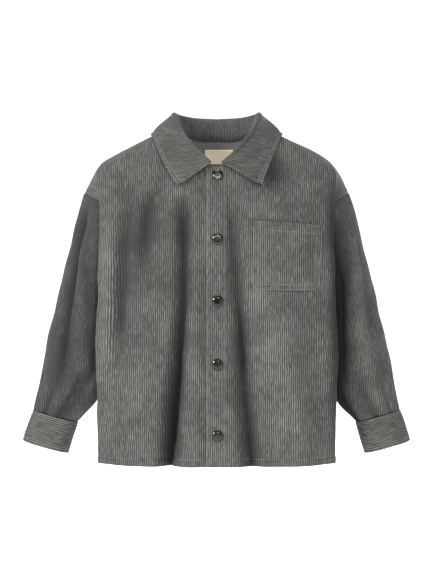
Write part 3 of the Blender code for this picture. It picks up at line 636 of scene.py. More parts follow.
class Finish:
    """A material, with its shader and a way to add nodes to it."""

    def __init__(self, name, **constants):
        self.material = bpy.data.materials.new(name)
        self.material.use_nodes = True
        self.tree = self.material.node_tree
        self.shader = self.tree.nodes["Principled BSDF"]
        for socket, value in constants.items():
            self.shader.inputs[socket.replace("_", " ")].default_value = value

    def node(self, kind, settings=None, inputs=None, output=0):
        made = self.tree.nodes.new(kind)
        for key, value in (settings or {}).items():
            setattr(made, key, value)
        for key, value in (inputs or {}).items():
            self.plug(made.inputs[key], value)
        return Value(self, made.outputs[output])

    def plug(self, socket, value):
        if isinstance(value, Value):
            self.tree.links.new(value.socket, socket)
        else:
            socket.default_value = value

    def vary(self, socket, value):
        self.plug(self.shader.inputs[socket], value)

    def mix(self, factor, first, second):
        settings = {"data_type": "RGBA"}
        return self.node("ShaderNodeMix", settings, {0: factor, 6: first, 7: second}, 2)

    def attribute(self, name, output):
        return self.node("ShaderNodeAttribute", {"attribute_name": name}, None, output)

    def grain(self):
        """Metres across the wales, and metres along them."""
        place = self.attribute("grain", 1)
        return [self.node("ShaderNodeSeparateXYZ", None, {0: place}, axis) for axis in (0, 1)]

    def noise(self, scale, detail=2.0, roughness=0.5, place=None):
        """Noise at a place, or else in the object's own metres."""
        place = place or self.node("ShaderNodeTexCoord", None, None, 3)
        inputs = {"Vector": place, "Scale": scale, "Detail": detail, "Roughness": roughness}
        return self.node("ShaderNodeTexNoise", None, inputs)

    def bump(self, height, distance, strength=1.0):
        self.vary("Normal", self.node("ShaderNodeBump", None, {
            "Height": height, "Distance": distance, "Strength": strength}))

# %% [markdown]
# The pile's tips are pale and its ground is dark. This is partly how the cloth is and partly painted shade in
# the valleys between the wales, so the wales show even where the light is flat. A further attribute says
# where the pile is paler, above 0, partly from wear and partly as painted light. Below 0 it says where the
# pile is darker, as painted shade in the folds and in shadowed places. Fine streaks run along the wales, the
# fuzz is a bump far smaller than a wale, and the sheen of standing fibres lightens the cloth where it turns
# away.

# %% Corduroy, right side
PILE_GROUND = (0.034, 0.035, 0.032, 1.0)
PILE_TIP = (0.070, 0.072, 0.067, 1.0)
# The palest tips: partly worn pile and partly painted light
PILE_WORN_AND_LIT = (0.225, 0.226, 0.212, 1.0)
# The colour of painted shadow, for the deepest folds and shadowed places
PAINTED_SHADOW_COLOUR = (0.011, 0.012, 0.011, 1.0)

corduroy = Finish("corduroy", Roughness=0.9, Sheen_Weight=0.10, Sheen_Roughness=0.5, Specular_IOR_Level=0.2)
across_wales, along_wales = corduroy.grain()
pile = 1.0 - abs((across_wales * (math.pi / PITCH)).cosine()) ** 3.0
streak_place = corduroy.node("ShaderNodeCombineXYZ", None, {0: across_wales * 620.0, 1: along_wales * 95.0})
streaks = corduroy.noise(1.0, 3.0, 0.6, streak_place)
patches = corduroy.noise(26.0, 4.0, 0.6)
fuzz = corduroy.noise(1500.0, 2.0, 0.6)
# Above 0 the pile is paler, partly worn and partly painted light; below 0 it is darker, as painted shade
wear_and_painted_shade = corduroy.attribute("wear_and_painted_shade", 2)
light_tips = corduroy.mix((streaks - 0.36) * 2.4 + (patches - 0.5) * 1.3 + wear_and_painted_shade * 0.5, PILE_TIP, PILE_WORN_AND_LIT)
# Across each wale the colour goes from the dark ground to the tips; the dark valleys are partly painted shade
pile_colour = corduroy.mix(pile ** 1.4, PILE_GROUND, light_tips)
# Painted shade: below 0 the colour is darkened towards the painted shadow colour
corduroy.vary("Base Color", corduroy.mix(wear_and_painted_shade * -0.70 - 0.03, pile_colour, PAINTED_SHADOW_COLOUR))
corduroy.bump(fuzz * 0.6 + streaks * 0.4, 0.0003, 0.7)
print("corduroy has", len(corduroy.tree.nodes), "nodes")

# %% [markdown]
# The wrong side of corduroy is a plain twill: paler, smoother, with the wales only as faint lines.

# %% Corduroy, wrong side
WRONG_SIDE = (0.215, 0.222, 0.210, 1.0)
WRONG_SIDE_DARK = (0.150, 0.156, 0.148, 1.0)
TWILL_PITCH = 0.0007

wrong_side = Finish("corduroy_wrong_side", Roughness=0.93, Sheen_Weight=0.08, Specular_IOR_Level=0.2)
across_wales, along_wales = wrong_side.grain()
lines = abs((across_wales * (math.pi / PITCH)).cosine()) ** 6.0
twill = ((across_wales + along_wales * 0.6) * (math.pi / TWILL_PITCH)).cosine()
patches = wrong_side.noise(30.0)
wrong_side.vary("Base Color", wrong_side.mix(lines * 0.45 + patches * 0.4, WRONG_SIDE, WRONG_SIDE_DARK))
wrong_side.bump(twill * 0.5 - lines, 0.00015, 0.6)
CLOTH = (corduroy.material, wrong_side.material)
PILE_BOTH_SIDES = (corduroy.material, corduroy.material)

# %% [markdown]
# ## The fronts and the back
#
# Over the chest the wales run straight down, as the placket does. Beyond the fold beside the arm the
# cloth turns back towards the side seam, and there the wales are spaced by measuring on the cloth itself.
# Wales that reach the armhole or the side seam simply end in it, as cut cloth does.

# %% Where each wale lies on the body
# The fold beside the arm, and the armhole or the side seam
FOLD_STATION, LAST_STATION = STATIONS[5], STATIONS[7]
TURN_STEPS = 40
SHOULDER_FROM, SHOULDER_OVER = 0.20, 0.20


def cloth_places(face, across, shares):
    """Stations, and metres across the wales, for each row and column of a half of the body.

    On the dropped shoulder the wales fan out to follow the armhole, instead of ending in it.
    """
    beyond = np.linspace(FOLD_STATION, LAST_STATION, TURN_STEPS + 1)
    down, out = np.meshgrid(shares, beyond, indexing="ij")
    line = on_grid(partial(plain_body, face, 1), out, down)
    station = np.empty((len(shares), len(across)))
    metres = np.empty_like(station)
    fanned = np.minimum(np.abs(across), LAST_STATION)
    for row, on_cloth in enumerate(length_along(line, axis=1)):
        size = np.minimum(np.abs(across), FOLD_STATION + on_cloth[-1])
        turned = np.interp(size - FOLD_STATION, on_cloth, beyond)
        near = 1 - smooth_step((shares[row] - SHOULDER_FROM) / SHOULDER_OVER)
        turned = turned * (1 - near) + fanned * near
        size = size * (1 - near) + fanned * near
        station[row] = np.sign(across) * np.where(size < FOLD_STATION, size, turned)
        metres[row] = np.sign(across) * size
    return station, metres

# %% [markdown]
# The rows of the mesh run level, from the shoulder seam to the hem, and lie closer at the hem's stitches. A
# share says how far down a row is, from 0 at the top to 1 at the hem.

# %% Rows from shoulder to hem
ROW_STEP = 0.0042
HEM_STITCH = 0.0095
HEM_ROWS = (HEM_STITCH + 0.0012, HEM_STITCH, HEM_STITCH - 0.0012, 0.0015, 0.0)
HEM_STATION = 0.08

fine_shares = np.linspace(0, 1, 401)
heights = net_points("front", np.full_like(fine_shares, HEM_STATION), fine_shares)[:, 2]
level_rows = np.arange(heights[0], heights[-1], -ROW_STEP)
all_rows = np.unique(np.round([*level_rows, *[heights[-1] + above for above in HEM_ROWS]], 5))[::-1]
SHARES_DOWN = np.interp(-all_rows, -heights, fine_shares)
HEM_SHARE = float(np.interp(heights[-1] + HEM_STITCH, heights[::-1], fine_shares[::-1]))
print(len(SHARES_DOWN), "rows from shoulder to hem, whose stitches lie at share", round(HEM_SHARE, 4))

# %% [markdown]
# The placket laps over the right front, which sinks in below it. A seam or a row of stitches pulls the
# cloth in, and the turned hem makes a band that stands out a little. Wales never run quite straight, so
# each strays to a side and back on its way down.

# %% Relief of the body's pieces
PLACKET_LAP = 0.0140
PLACKET_SEWN = 0.0125
UNDERLAP = 0.0110
UNDERLAP_SINK = 0.0030
SINK_FROM, SINK_TO = 0.0270, 0.0165

SEAM_DEPTH, SEAM_REACH = 0.0013, 0.0024
SHOULDER_SEAM = 0.7
SHOULDER_LENGTH = 0.30
STITCH_DEPTH, STITCH_REACH = 0.0007, 0.0010
HEM_BAND = 0.0006
HEM_BAND_EDGE = 0.002
WANDER = 0.00045
BODY_LENGTH = 0.43


def stitched(distance, *lines, depth=STITCH_DEPTH):
    """The cloth pulled in along rows of stitches, each at a distance from where distance is 0."""
    return sum(groove(distance - line, depth, STITCH_REACH) for line in lines)


def hem_form(points):
    """The cloth pulled in along the stitches of the hem."""
    return stitched(points[..., 2] - points[-1:, :, 2], HEM_STITCH)


def body_form(points, edge, share):
    """Slow waves, and the cloth pulled in at its seams and hem."""
    lift = slow_waves(points) + hem_form(points)
    lift += groove(edge, SEAM_DEPTH, SEAM_REACH)
    lift += groove(share * SHOULDER_LENGTH, SEAM_DEPTH * SHOULDER_SEAM, SEAM_REACH)
    above_hem = points[..., 2] - points[-1:, :, 2]
    return lift + HEM_BAND * smooth_step((HEM_STITCH - above_hem) / HEM_BAND_EDGE)


def wander(across, along):
    """How far the wales stray to a side."""
    drift = np.sin(along * 150 + across * 60) * 0.6 + np.sin(along * 330 - across * 140 + 1.3) * 0.4
    return WANDER * drift


def body_points(face, side, station, shares):
    share = np.repeat(shares[:, None], station.shape[1], axis=1)
    straying = (np.abs(station) < FOLD_STATION) & (np.abs(station) > SINK_FROM)
    stray = wander(station, share * BODY_LENGTH) * straying
    return on_grid(partial(body, face, side), station + stray, share), share


def under_placket(side, station):
    """How far the right front sinks in where the placket laps over it."""
    return UNDERLAP_SINK * smooth_step((SINK_FROM - station) / (SINK_FROM - SINK_TO)) * (side < 0)

# %% [markdown]
# In a fold the pile is painted darker, as painted shade that follows the fold's depth. Elsewhere a few soft
# patches, each a row, paint light or shade: paler where the cloth is lit, and darker in shaded hollows, in
# the shadow beside the arm and beside the collar's point.

# %% Painted shade of the body
# How much darker the pile is painted, as painted shade, for a metre of a fold's depth, and over which share
# the painted light and shade fade in at the shoulder seam
SHADE_IN_FOLDS = 52.0
SHADE_FROM_SEAM = 0.10

# Patches of painted light and shade on the front: the middle's x and height, the reach across and down, and
# the shade
ShadePatch = namedtuple("ShadePatch", "x z across down shade")
PAINTED_LIGHT_AND_SHADE = (
    ShadePatch(-.122, -.175, .030, .085, -.26),
    ShadePatch(-.085, -.150, .040, .090, -.20),
    ShadePatch(-.146, -.230, .010, .120, .45),
    ShadePatch(.068, -.310, .024, .110, .26),
    ShadePatch(.161, -.245, .0085, .160, -1.30),
    ShadePatch(.154, -.130, .0060, .042, -.65),
    ShadePatch(.075, -.066, .022, .020, -.85),
)


def body_painted_shade(face, side, station, share):
    """Painted shade and painted light at each point of a face of the body: darker in the folds and the shaded
    patches, paler in the lit ones.
    """
    spots = plain_body(face, side, station.ravel(), share.ravel())
    wear_and_painted_shade = -SHADE_IN_FOLDS * fold_depth(face, spots[:, 0], spots[:, 2])
    if face == "front":
        for patch in PAINTED_LIGHT_AND_SHADE:
            aside, below = (spots[:, 0] - patch.x) / patch.across, (spots[:, 2] - patch.z) / patch.down
            wear_and_painted_shade += patch.shade * np.exp(-(aside**2 + below**2))
    wear_and_painted_shade *= smooth_step(share.ravel() / SHADE_FROM_SEAM)
    return wear_and_painted_shade.reshape(station.shape)

# %% [markdown]
# Each front runs from the placket to the armhole and the side seam. On the dropped shoulder, above the
# armhole, the wales run across the arm and slope a little.

# %% Fronts
TO_FRONT, TO_BACK = (0, -1, 0), (0, 1, 0)
SEWN_UNDER = 0.002
FRONT_BEYOND_FOLD = 0.075

# Wales that run across the arm: from this share down to that one, and this far beyond the fold beside the
# arm
LEVEL_FROM, LEVEL_TO = 0.02, 0.32
LEVEL_BEYOND = 0.003
LEVEL_SLOPE = 0.8
LEVEL_SPREAD = 1.25
LEVEL_NAP = 0.20


def front_places(side, across, shares):
    station, metres = cloth_places("front", across, shares)
    points, share = body_points("front", side, station, shares)
    points[..., 1] += under_placket(side, station)
    return points, share, metres, station


def front(side):
    first = PLACKET_SEWN - SEWN_UNDER if side > 0 else -UNDERLAP
    columns = wale_columns(first, FOLD_STATION + FRONT_BEYOND_FOLD)
    points, share, metres, station = front_places(side, columns, SHARES_DOWN)
    lift = body_form(points, np.maximum(metres[:, -1:] - metres, 0), share)
    along = -points[..., 2]
    level = (station > FOLD_STATION + LEVEL_BEYOND) & (share > LEVEL_FROM) & (share < LEVEL_TO)
    pile = np.where(level, 0.0, wale_lift(metres, along))
    turned = (along + metres * LEVEL_SLOPE) / math.hypot(1, LEVEL_SLOPE) / LEVEL_SPREAD
    grain = np.where(level, turned, metres), np.where(level, metres, along)
    wear_and_painted_shade = body_painted_shade("front", side, station, share) + LEVEL_NAP * level
    cloth(f"front_{hand(side)}", points, *grain, lift, TO_FRONT, WALL, CLOTH, pile, wear_and_painted_shade)


for side in (-1, 1):
    front(side)

# %% Back
BACK_BEYOND_FOLD = 0.060


def both_halves(half_columns):
    """Columns of a piece that is the same on both sides of its middle line."""
    return np.concatenate([-half_columns[:0:-1], half_columns])


def back_places(across, shares):
    station, metres = cloth_places("back", across, shares)
    points, share = body_points("back", 1, station, shares)
    return points, share, metres, station


columns = both_halves(wale_columns(0, FOLD_STATION + BACK_BEYOND_FOLD))
points, share, metres, station = back_places(columns, SHARES_DOWN)
edge = np.minimum(metres[:, -1:] - metres, metres - metres[:, :1])
lift = body_form(points, np.maximum(edge, 0), share)
cloth("back", points, metres, -points[..., 2], lift, TO_BACK, WALL, CLOTH, None,
      body_painted_shade("back", 1, station, share))

# %% [markdown]
# ## The placket
#
# The left front's edge is a folded strip that laps over the right front and carries the snaps. Its free
# edge stands proud, and a line of stitches holds its other edge down.

# %% Placket
PLACKET_WALL = 0.0024
PLACKET_RISE = 0.0010
PLACKET_STITCHES = (-0.0115, 0.0108)
PLACKET_TURN = 0.0012
PLACKET_EDGE, PLACKET_EDGE_REACH = 0.0004, 0.0010
EDGE_WEAR, EDGE_REACH = 0.8, 0.0014


def worn_edge(distance):
    """Pile wears pale along an edge."""
    return EDGE_WEAR * np.exp(-((distance / EDGE_REACH) ** 2))


def placket_surface(station, share):
    points = body("front", 1, station, share)
    points[:, 1] -= PLACKET_RISE
    return points


columns = wale_columns(-PLACKET_LAP, PLACKET_SEWN + PLACKET_TURN)
share, station = np.meshgrid(SHARES_DOWN, columns, indexing="ij")
points = on_grid(placket_surface, station, share)
edge = np.minimum(station - columns[0], columns[-1] - station)
lift = hem_form(points) + groove(edge, PLACKET_EDGE, PLACKET_EDGE_REACH)
lift += stitched(station, *PLACKET_STITCHES)
wear_and_painted_shade = body_painted_shade("front", 1, station, share) + worn_edge(station + PLACKET_LAP)
cloth("placket", points, station, -points[..., 2], lift, TO_FRONT, PLACKET_WALL, PILE_BOTH_SIDES, None, wear_and_painted_shade)

# %% [markdown]
# ## Sleeves
#
# A sleeve's wales start at the middle of its top and run down it side by side. Those nearest the underarm
# end in its seam, because the sleeve narrows towards the cuff.

# %% Sleeves
# The length, with rows close together at both ends, and the metres from the top line to past the underarm
SLEEVE_LENGTH = 0.305
SLEEVE_ROWS = (*np.linspace(0, 1, 78), 0.004, 0.008, 0.992, 0.996)
SLEEVE_REACH = 0.185
ROUND_STEPS = 60
CUFF_SEAM = 0.0003

# The sleeve's wales are worn differently from the body's, as if cut this far along the cloth
SLEEVE_GRAIN_START = 0.5

# The painted light and shade of each sleeve: its painted shade all over, and beside the body, where the right
# sleeve is painted paler and the left one is painted with the body's shadow. Then how many degrees the second
# one reaches at the armhole and at the cuff. Beside the body is round this angle.
SleeveShade = namedtuple("SleeveShade", "all_over beside top_reach foot_reach")
SLEEVE_SHADE = {"right": SleeveShade(-0.40, 0.80, 38, 17), "left": SleeveShade(-0.12, -2.20, 66, 9)}
BESIDE = 152


def sleeve_places(side, across, alongs):
    """Angles, and metres from the top line, for each row and column: the front half first."""
    half_turn = np.linspace(0, 180, ROUND_STEPS + 1)
    angle = np.empty((len(alongs), len(across)))
    metres = np.empty_like(angle)
    for half in (1, -1):
        down, turn = np.meshgrid(alongs, half_turn * half, indexing="ij")
        line = on_grid(partial(plain_sleeve, side), turn, down)
        there = np.sign(across + 1e-9) == half
        for row, on_cloth in enumerate(length_along(line, axis=1)):
            size = np.minimum(np.abs(across[there]), on_cloth[-1])
            angle[row, there] = half * np.interp(size, on_cloth, half_turn)
            metres[row, there] = half * size
    return angle, metres


# Painted shade of a sleeve: all over, beside the body, and darker in its folds
def sleeve_painted_shade(side, angle, along):
    wear_and_painted_shade = SLEEVE_SHADE[hand(side)]
    reach = wear_and_painted_shade.top_reach + (wear_and_painted_shade.foot_reach - wear_and_painted_shade.top_reach) * along
    shade = wear_and_painted_shade.all_over + wear_and_painted_shade.beside * np.exp(-(((angle - BESIDE) / reach) ** 2))
    return shade - SHADE_IN_FOLDS * sleeve_depth(side, angle, along)


def sleeve(side):
    columns = both_halves(wale_columns(0, SLEEVE_REACH))
    alongs = np.unique(SLEEVE_ROWS)
    angle, metres = sleeve_places(side, columns, alongs)
    along = np.repeat(alongs[:, None], len(columns), axis=1)
    points = on_grid(partial(sleeve_surface, side), angle, along)
    under = np.minimum(metres[:, -1:] - metres, metres - metres[:, :1])
    lift = slow_waves(points) + groove(under, SEAM_DEPTH, SEAM_REACH)
    lift += groove(along * SLEEVE_LENGTH, SEAM_DEPTH, SEAM_REACH)
    lift += groove((1 - along) * SLEEVE_LENGTH, CUFF_SEAM, SEAM_REACH)
    on_cloth = along * SLEEVE_LENGTH + SLEEVE_GRAIN_START
    wear_and_painted_shade = sleeve_painted_shade(side, angle, along)
    cloth(f"sleeve_{hand(side)}", points, metres, on_cloth, lift, None, WALL, CLOTH, None, wear_and_painted_shade)


for side in (-1, 1):
    sleeve(side)

# %% [markdown]
# A cuff is a band cut the other way of the cloth, so its wales run round the wrist.

# %% Cuffs
CUFF_COLUMNS = 72
CUFF_HEIGHT = 0.0448
CUFF_ROUND = 0.15
CUFF_WALL = 0.0021
CUFF_STITCHES = (0.0040, CUFF_HEIGHT - 0.0042)
CUFF_WAVES = 0.6
CUFF_RISE = 0.0007
CUFF_TOP, CUFF_FOOT, CUFF_EDGE_REACH = 0.0003, 0.0007, 0.0012
CUFF_NAP = 0.12


def cuff_surface(side, angle, along):
    first, last = (ring_points(ring, side, angle) for ring in CUFF_RINGS)
    return first + (last - first) * along[:, None]


def cuff(side):
    metres = wale_columns(0, CUFF_HEIGHT)
    turn = np.linspace(0, 360, CUFF_COLUMNS + 1)
    along, angle = np.meshgrid(metres / CUFF_HEIGHT, turn, indexing="ij")
    points = on_grid(partial(cuff_surface, side), angle, along)
    on_cloth = along * CUFF_HEIGHT
    lift = slow_waves(points) * CUFF_WAVES + CUFF_RISE
    lift += groove(on_cloth, CUFF_TOP, CUFF_EDGE_REACH)
    lift += groove(CUFF_HEIGHT - on_cloth, CUFF_FOOT, CUFF_EDGE_REACH)
    lift += stitched(on_cloth, *CUFF_STITCHES)
    cloth(f"cuff_{hand(side)}", points, on_cloth, angle / 360 * CUFF_ROUND, lift, None, CUFF_WALL,
          PILE_BOTH_SIDES, None, CUFF_NAP + worn_edge(on_cloth))


for side in (-1, 1):
    cuff(side)

# %% [markdown]
# ## The collar
#
# The collar is one folded strip. Its stand rises from the neck seam, it rolls over, and its fall lies on
# the body, spread into two points in front. Blender's BVH tree answers where the cloth below it is, so the
# fall rests on it instead of sinking in. The strip is cut straight and then bent round, so its wales run
# down the back of the neck but lie nearly level at the points.

# %% The cloth below
def tree_of(*surfaces):
    """The faces of surfaces, each given as its points and which way is outwards, to lay pieces on."""
    corners, faces = [], []
    for points, outward in surfaces:
        rows, columns = points.shape[:2]
        index = np.arange(rows * columns).reshape(rows, columns) + len(corners)
        quads = np.stack([index[:-1, :-1], index[:-1, 1:], index[1:, 1:], index[1:, :-1]], axis=-1)
        across, down = points[0, -1] - points[0, 0], points[-1, 0] - points[0, 0]
        if np.dot(np.cross(across, down), outward) < 0:
            quads = quads[..., ::-1]
        corners += points.reshape(-1, 3).tolist()
        faces += quads.reshape(-1, 4).tolist()
    return BVHTree.FromPolygons(corners, faces)


FRONT_REACH, BACK_REACH = 0.225, 0.215

coarse = np.linspace(0, 1, 90)
right_chest = front_places(-1, np.linspace(-UNDERLAP, FRONT_REACH, 90), coarse)[0]
left_chest = front_places(1, np.linspace(PLACKET_SEWN, FRONT_REACH, 90), coarse)[0]
shoulders = back_places(np.linspace(-BACK_REACH, BACK_REACH, 150), coarse)[0]
share, station = np.meshgrid(coarse, np.linspace(-PLACKET_LAP, PLACKET_SEWN, 8), indexing="ij")
strip = on_grid(placket_surface, station, share)
all_round = tree_of((right_chest, TO_FRONT), (left_chest, TO_FRONT), (strip, TO_FRONT), (shoulders, TO_BACK))
print("the collar is laid on", sum(len(side) for side in (right_chest, left_chest, strip, shoulders)), "rows")

# %% Collar sizes
COLLAR_WALL = 0.0024
NECK_SEAM = -0.0026
# The one-piece collar, a half of it from its front end to the centre back: the line it rolls over, and its
# outer edge, which lies on the body
ROLL_LINE = (
    (.0065, -.0660, -.0495), (.0155, -.0640, -.0415), (.0280, -.0575, -.0300), (.0370, -.0480, -.0185),
    (.0450, -.0360, -.0080), (.0505, -.0220, .0045), (.0560, -.0040, .0180), (.0580, .0110, .0220),
    (.0520, .0300, .0205), (.0320, .0450, .0175), (.0000, .0500, .0160),
)
FALL_EDGE = (
    (.0515, -.0780, -.0838), (.0550, -.0770, -.0780), (.0620, -.0730, -.0660), (.0700, -.0640, -.0520),
    (.0775, -.0500, -.0350), (.0850, -.0280, -.0190), (.0895, -.0040, -.0090), (.0885, .0180, -.0120),
    (.0800, .0450, -.0240), (.0480, .0680, -.0330), (.0000, .0740, -.0350),
)
ROLL_RADIUS = 0.0036
FALL_BULGE = 0.0030
COLLAR_LIFT = 0.0038
LAID_FROM = 2.1
LAID_OVER = 0.4
COLLAR_END = 0.0065

# Where the shoulder seams meet the collar, and where its points end, as shares of the way to the centre
# back. The left point lies further out than the right one.
NECK_POINT = 0.6
LEAF_END = 0.45
LEFT_LEAF_REACH = 0.0105

# The share of the way round, and the station on the neckline that the collar's foot passes there
NECK_STATIONS = (
    (0.0, COLLAR_END), (0.3, .0353), (NECK_POINT, .0640), (0.7, .0575), (0.8, .0490), (0.9, .0325),
    (1.0, 0.0),
)

# At its front ends the collar's foot rises off the neckline, over a share of its way round
END_RISE = 0.0030
END_REACH = 0.2
ROLL_NUDGE = 0.06

# %% A half of the collar
def lay_on(tree, point, lift):
    """The point, moved out to stand at least `lift` off the cloth below it."""
    near, normal, _, _ = tree.find_nearest(Vector(point))
    height = (Vector(point) - near).dot(normal)
    return near + normal * lift if height < lift else Vector(point)


def neck_seam(around):
    """The seam where the collar meets the body, from the collar's front end (0) to the centre back (1)."""
    around = np.asarray(around, float)
    places, stations = zip(*NECK_STATIONS)
    station = np.minimum(through(places, stations, around), STATIONS[3])
    zero = np.zeros_like(station)
    in_front = (around < NECK_POINT)[:, None]
    return np.where(in_front, body("front", 1, station, zero), body("back", 1, station, zero))


def roll_line(around):
    """The line that the collar rolls over. Past the centre back it goes on as a mirror image."""
    mirrored = np.where(around > 1, -1.0, 1.0)
    line = through(np.linspace(0, 1, len(ROLL_LINE)), ROLL_LINE, 1 - np.abs(1 - around))
    line[:, 0] *= mirrored
    return line


def fall_edge(around):
    """The outer edge of the fall."""
    return through(np.linspace(0, 1, len(FALL_EDGE)), FALL_EDGE, around)


def collar_surface(tree, around, across, leaf_reach):
    """A half of the collar. Across, 0 to 1 is the stand, 1 to 2 rolls over, and 2 to 3 is the fall."""
    roll = roll_line(around)
    edge = fall_edge(around)
    edge[:, 0] += leaf_reach * np.clip(1 - around / LEAF_END, 0, 1) ** 2
    base = neck_seam(around)
    base[:, 2] += NECK_SEAM + END_RISE * np.clip(1 - around / END_REACH, 0, 1) ** 2
    tangent = roll_line(around + ROLL_NUDGE) - roll_line(np.maximum(around - ROLL_NUDGE, 0))
    points = []
    for top, foot, low, along, t in zip(roll, base, edge, tangent, across):
        outward = Vector((along[1], -along[0], 0.0)).normalized()
        upward = outward.cross(Vector(along)).normalized()
        inner_foot = Vector(foot) - outward * COLLAR_WALL
        centre = Vector(top) - upward * ROLL_RADIUS
        if t <= 1:
            points.append(inner_foot.lerp(centre - outward * ROLL_RADIUS, t))
        elif t <= 2:
            turn = math.pi * (t - 1)
            points.append(centre + (upward * math.sin(turn) - outward * math.cos(turn)) * ROLL_RADIUS)
        else:
            start = centre + outward * ROLL_RADIUS
            bulge = outward * (FALL_BULGE * math.sin(math.pi * (t - 2)))
            point = start.lerp(Vector(low), t - 2) + bulge
            laid = lay_on(tree, point, COLLAR_LIFT)
            points.append(point.lerp(laid, float(smooth_step((t - LAID_FROM) / LAID_OVER))))
    return np.array(points)

# %% The whole collar
# The fall's bumps are smoothed out from this share of the way round, and from its roll outwards
SETTLE_FROM, SETTLE_OVER = 0.30, 0.15
SETTLE_ACROSS = 0.4
SETTLE_TIMES = 24


def collar_place(around, across):
    """Points of the whole collar: around goes from 0 at its right end, over 1 at the back, to 2."""
    side = np.where(around < 1.0, -1.0, 1.0)
    reach = np.where(side > 0, LEFT_LEAF_REACH, 0.0)
    points = collar_surface(all_round, 1.0 - np.abs(around - 1.0), across, reach)
    points[:, 0] *= side
    return points


def settled(points, around, across):
    """The fall with its bumps smoothed out along the collar, where it crosses the shoulders."""
    from_end = 1 - np.abs(around - 1)
    share = smooth_step((from_end - SETTLE_FROM) / SETTLE_OVER) * smooth_step((across - 2.0) / SETTLE_ACROSS)
    share = share[:, 1:-1, None]
    for _ in range(SETTLE_TIMES):
        mean = (points[:, :-2] + 2 * points[:, 1:-1] + points[:, 2:]) / 4
        points[:, 1:-1] += (mean - points[:, 1:-1]) * share
    return points


fine = np.linspace(0, 1, 81)
on_line = length_along((roll_line(fine) + fall_edge(fine)) / 2)
half_length = on_line[-1]
fall_width = np.linalg.norm(fall_edge(fine) - roll_line(fine), axis=1)
print("half the collar is", half_length.round(4), "long, its fall", fall_width.min().round(4), "wide or more")

# %% [markdown]
# The wales of the fall slant: further out they lie further back. So each row of the strip passes other
# places round the neck, and a column that would start before the front end starts at it. The second half is
# the first one again, mirrored at the centre back.

# %% Wales of the collar
COLLAR_ACROSS = np.array((
    0, .35, .7, 1, 1.2, 1.4, 1.6, 1.8, 2, 2.08, 2.16, 2.24, 2.32, 2.4, 2.47, 2.54, 2.61, 2.68, 2.75, 2.81,
    2.86, 2.90, 2.93, 2.96, 2.985, 3,
))
COLLAR_START = -0.040
COLLAR_SLANT, SLANT_GROWS = 0.80, 1.6
ROLL_ACROSS = 1.5

columns = wale_columns(COLLAR_START, half_length)
slant = COLLAR_SLANT * smooth_step((half_length - columns) / half_length * SLANT_GROWS)
out = np.clip(COLLAR_ACROSS - ROLL_ACROSS, 0, None)[:, None] / ROLL_ACROSS
slid = slant * np.interp(columns, on_line, fall_width) * out
half_grain = np.maximum(columns, -slid)
half_around = np.interp(np.clip(columns + slid, 0, half_length), on_line, fine)
around = np.concatenate([half_around, 2 - half_around[:, -2::-1]], axis=1)
grain_across = np.concatenate([half_grain, 2 * half_length - half_grain[:, -2::-1]], axis=1)
across = np.repeat(COLLAR_ACROSS[:, None], around.shape[1], axis=1)

# %% Collar
FALL_FLAT = 0.045
STRIP_FLAT = 0.10
COLLAR_STITCH = 0.0042
COLLAR_EDGE, COLLAR_EDGE_REACH = 0.0005, 0.0012
# The left leaf is painted darker, as painted shade, from this share of the way round and over this share
LEFT_LEAF_SHADE = 0.25
LEFT_LEAF_FROM, LEFT_LEAF_OVER = 1.1, 0.5

points = settled(on_grid(collar_place, around, across), around, across)
on_fall = across > 2
lift, wear_and_painted_shade = np.zeros_like(across), -LEFT_LEAF_SHADE * smooth_step((around - LEFT_LEAF_FROM) / LEFT_LEAF_OVER)
for distance in ((3 - across) / ROLL_ACROSS * FALL_FLAT, np.minimum(around, 2 - around) * half_length):
    lift += groove(distance, COLLAR_EDGE, COLLAR_EDGE_REACH) * on_fall
    lift += stitched(distance, COLLAR_STITCH) * on_fall
    wear_and_painted_shade += worn_edge(distance) * on_fall
grain_along = across / 3 * STRIP_FLAT
cloth("collar", points, grain_across, grain_along, lift, None, COLLAR_WALL, PILE_BOTH_SIDES, None, wear_and_painted_shade)

# %% [markdown]
# ## The pocket
#
# The pocket is a patch laid on the left front. A ray from straight ahead finds the chest below each of its
# points, so it takes on the same folds. Its wales line up with those of the chest.

# %% Where the pocket lies
# Its outer sizes, with the corners of its mouth. FAR is a place well clear of the jacket, to look at it
# from.
FAR = 1.0
POCKET_LEFT, POCKET_RIGHT = 0.0480, 0.1415
POCKET_TOP_LEFT, POCKET_TOP_RIGHT = -0.1285, -0.1345
POCKET_BOTTOM = -0.2215
POCKET_CORNER = 0.0130
POCKET_NARROWING = 0.0025
POCKET_LIFT = 0.0008


def on_front(tree, x, z):
    """The point of the front, and its direction outwards, at a place seen from the front."""
    point, normal, _, _ = tree.ray_cast(Vector((x, -FAR, z)), Vector(TO_BACK))
    return point, normal if normal.y < 0 else -normal


def pocket_outline(across, down):
    """A place on the pocket seen from the front, with its lower corners rounded off."""
    top = POCKET_TOP_LEFT + (POCKET_TOP_RIGHT - POCKET_TOP_LEFT) * across
    z = top + (POCKET_BOTTOM - top) * down
    above = min(z - POCKET_BOTTOM, POCKET_CORNER)
    inset = POCKET_CORNER - math.sqrt(POCKET_CORNER**2 - (POCKET_CORNER - above) ** 2)
    narrowed = POCKET_NARROWING * down
    left = POCKET_LEFT + inset - narrowed
    right = POCKET_RIGHT - inset - 2 * narrowed
    return left + (right - left) * across, z

# %% Pocket
POCKET_STITCHES = (0.0018, 0.0080)
POCKET_STITCH_DEPTH = STITCH_DEPTH * 0.8
POCKET_EDGE, POCKET_EDGE_REACH = 0.0006, 0.0010
MOUTH_STITCH = 0.0115
MOUTH_STANDS_OFF, MOUTH_HEIGHT = 0.0008, 0.020
POCKET_WEAR = 0.6
POCKET_ROWS = (*np.linspace(0, 1, 34), 0.008, 0.02, 0.90, 0.93, 0.96, 0.98, 0.992)

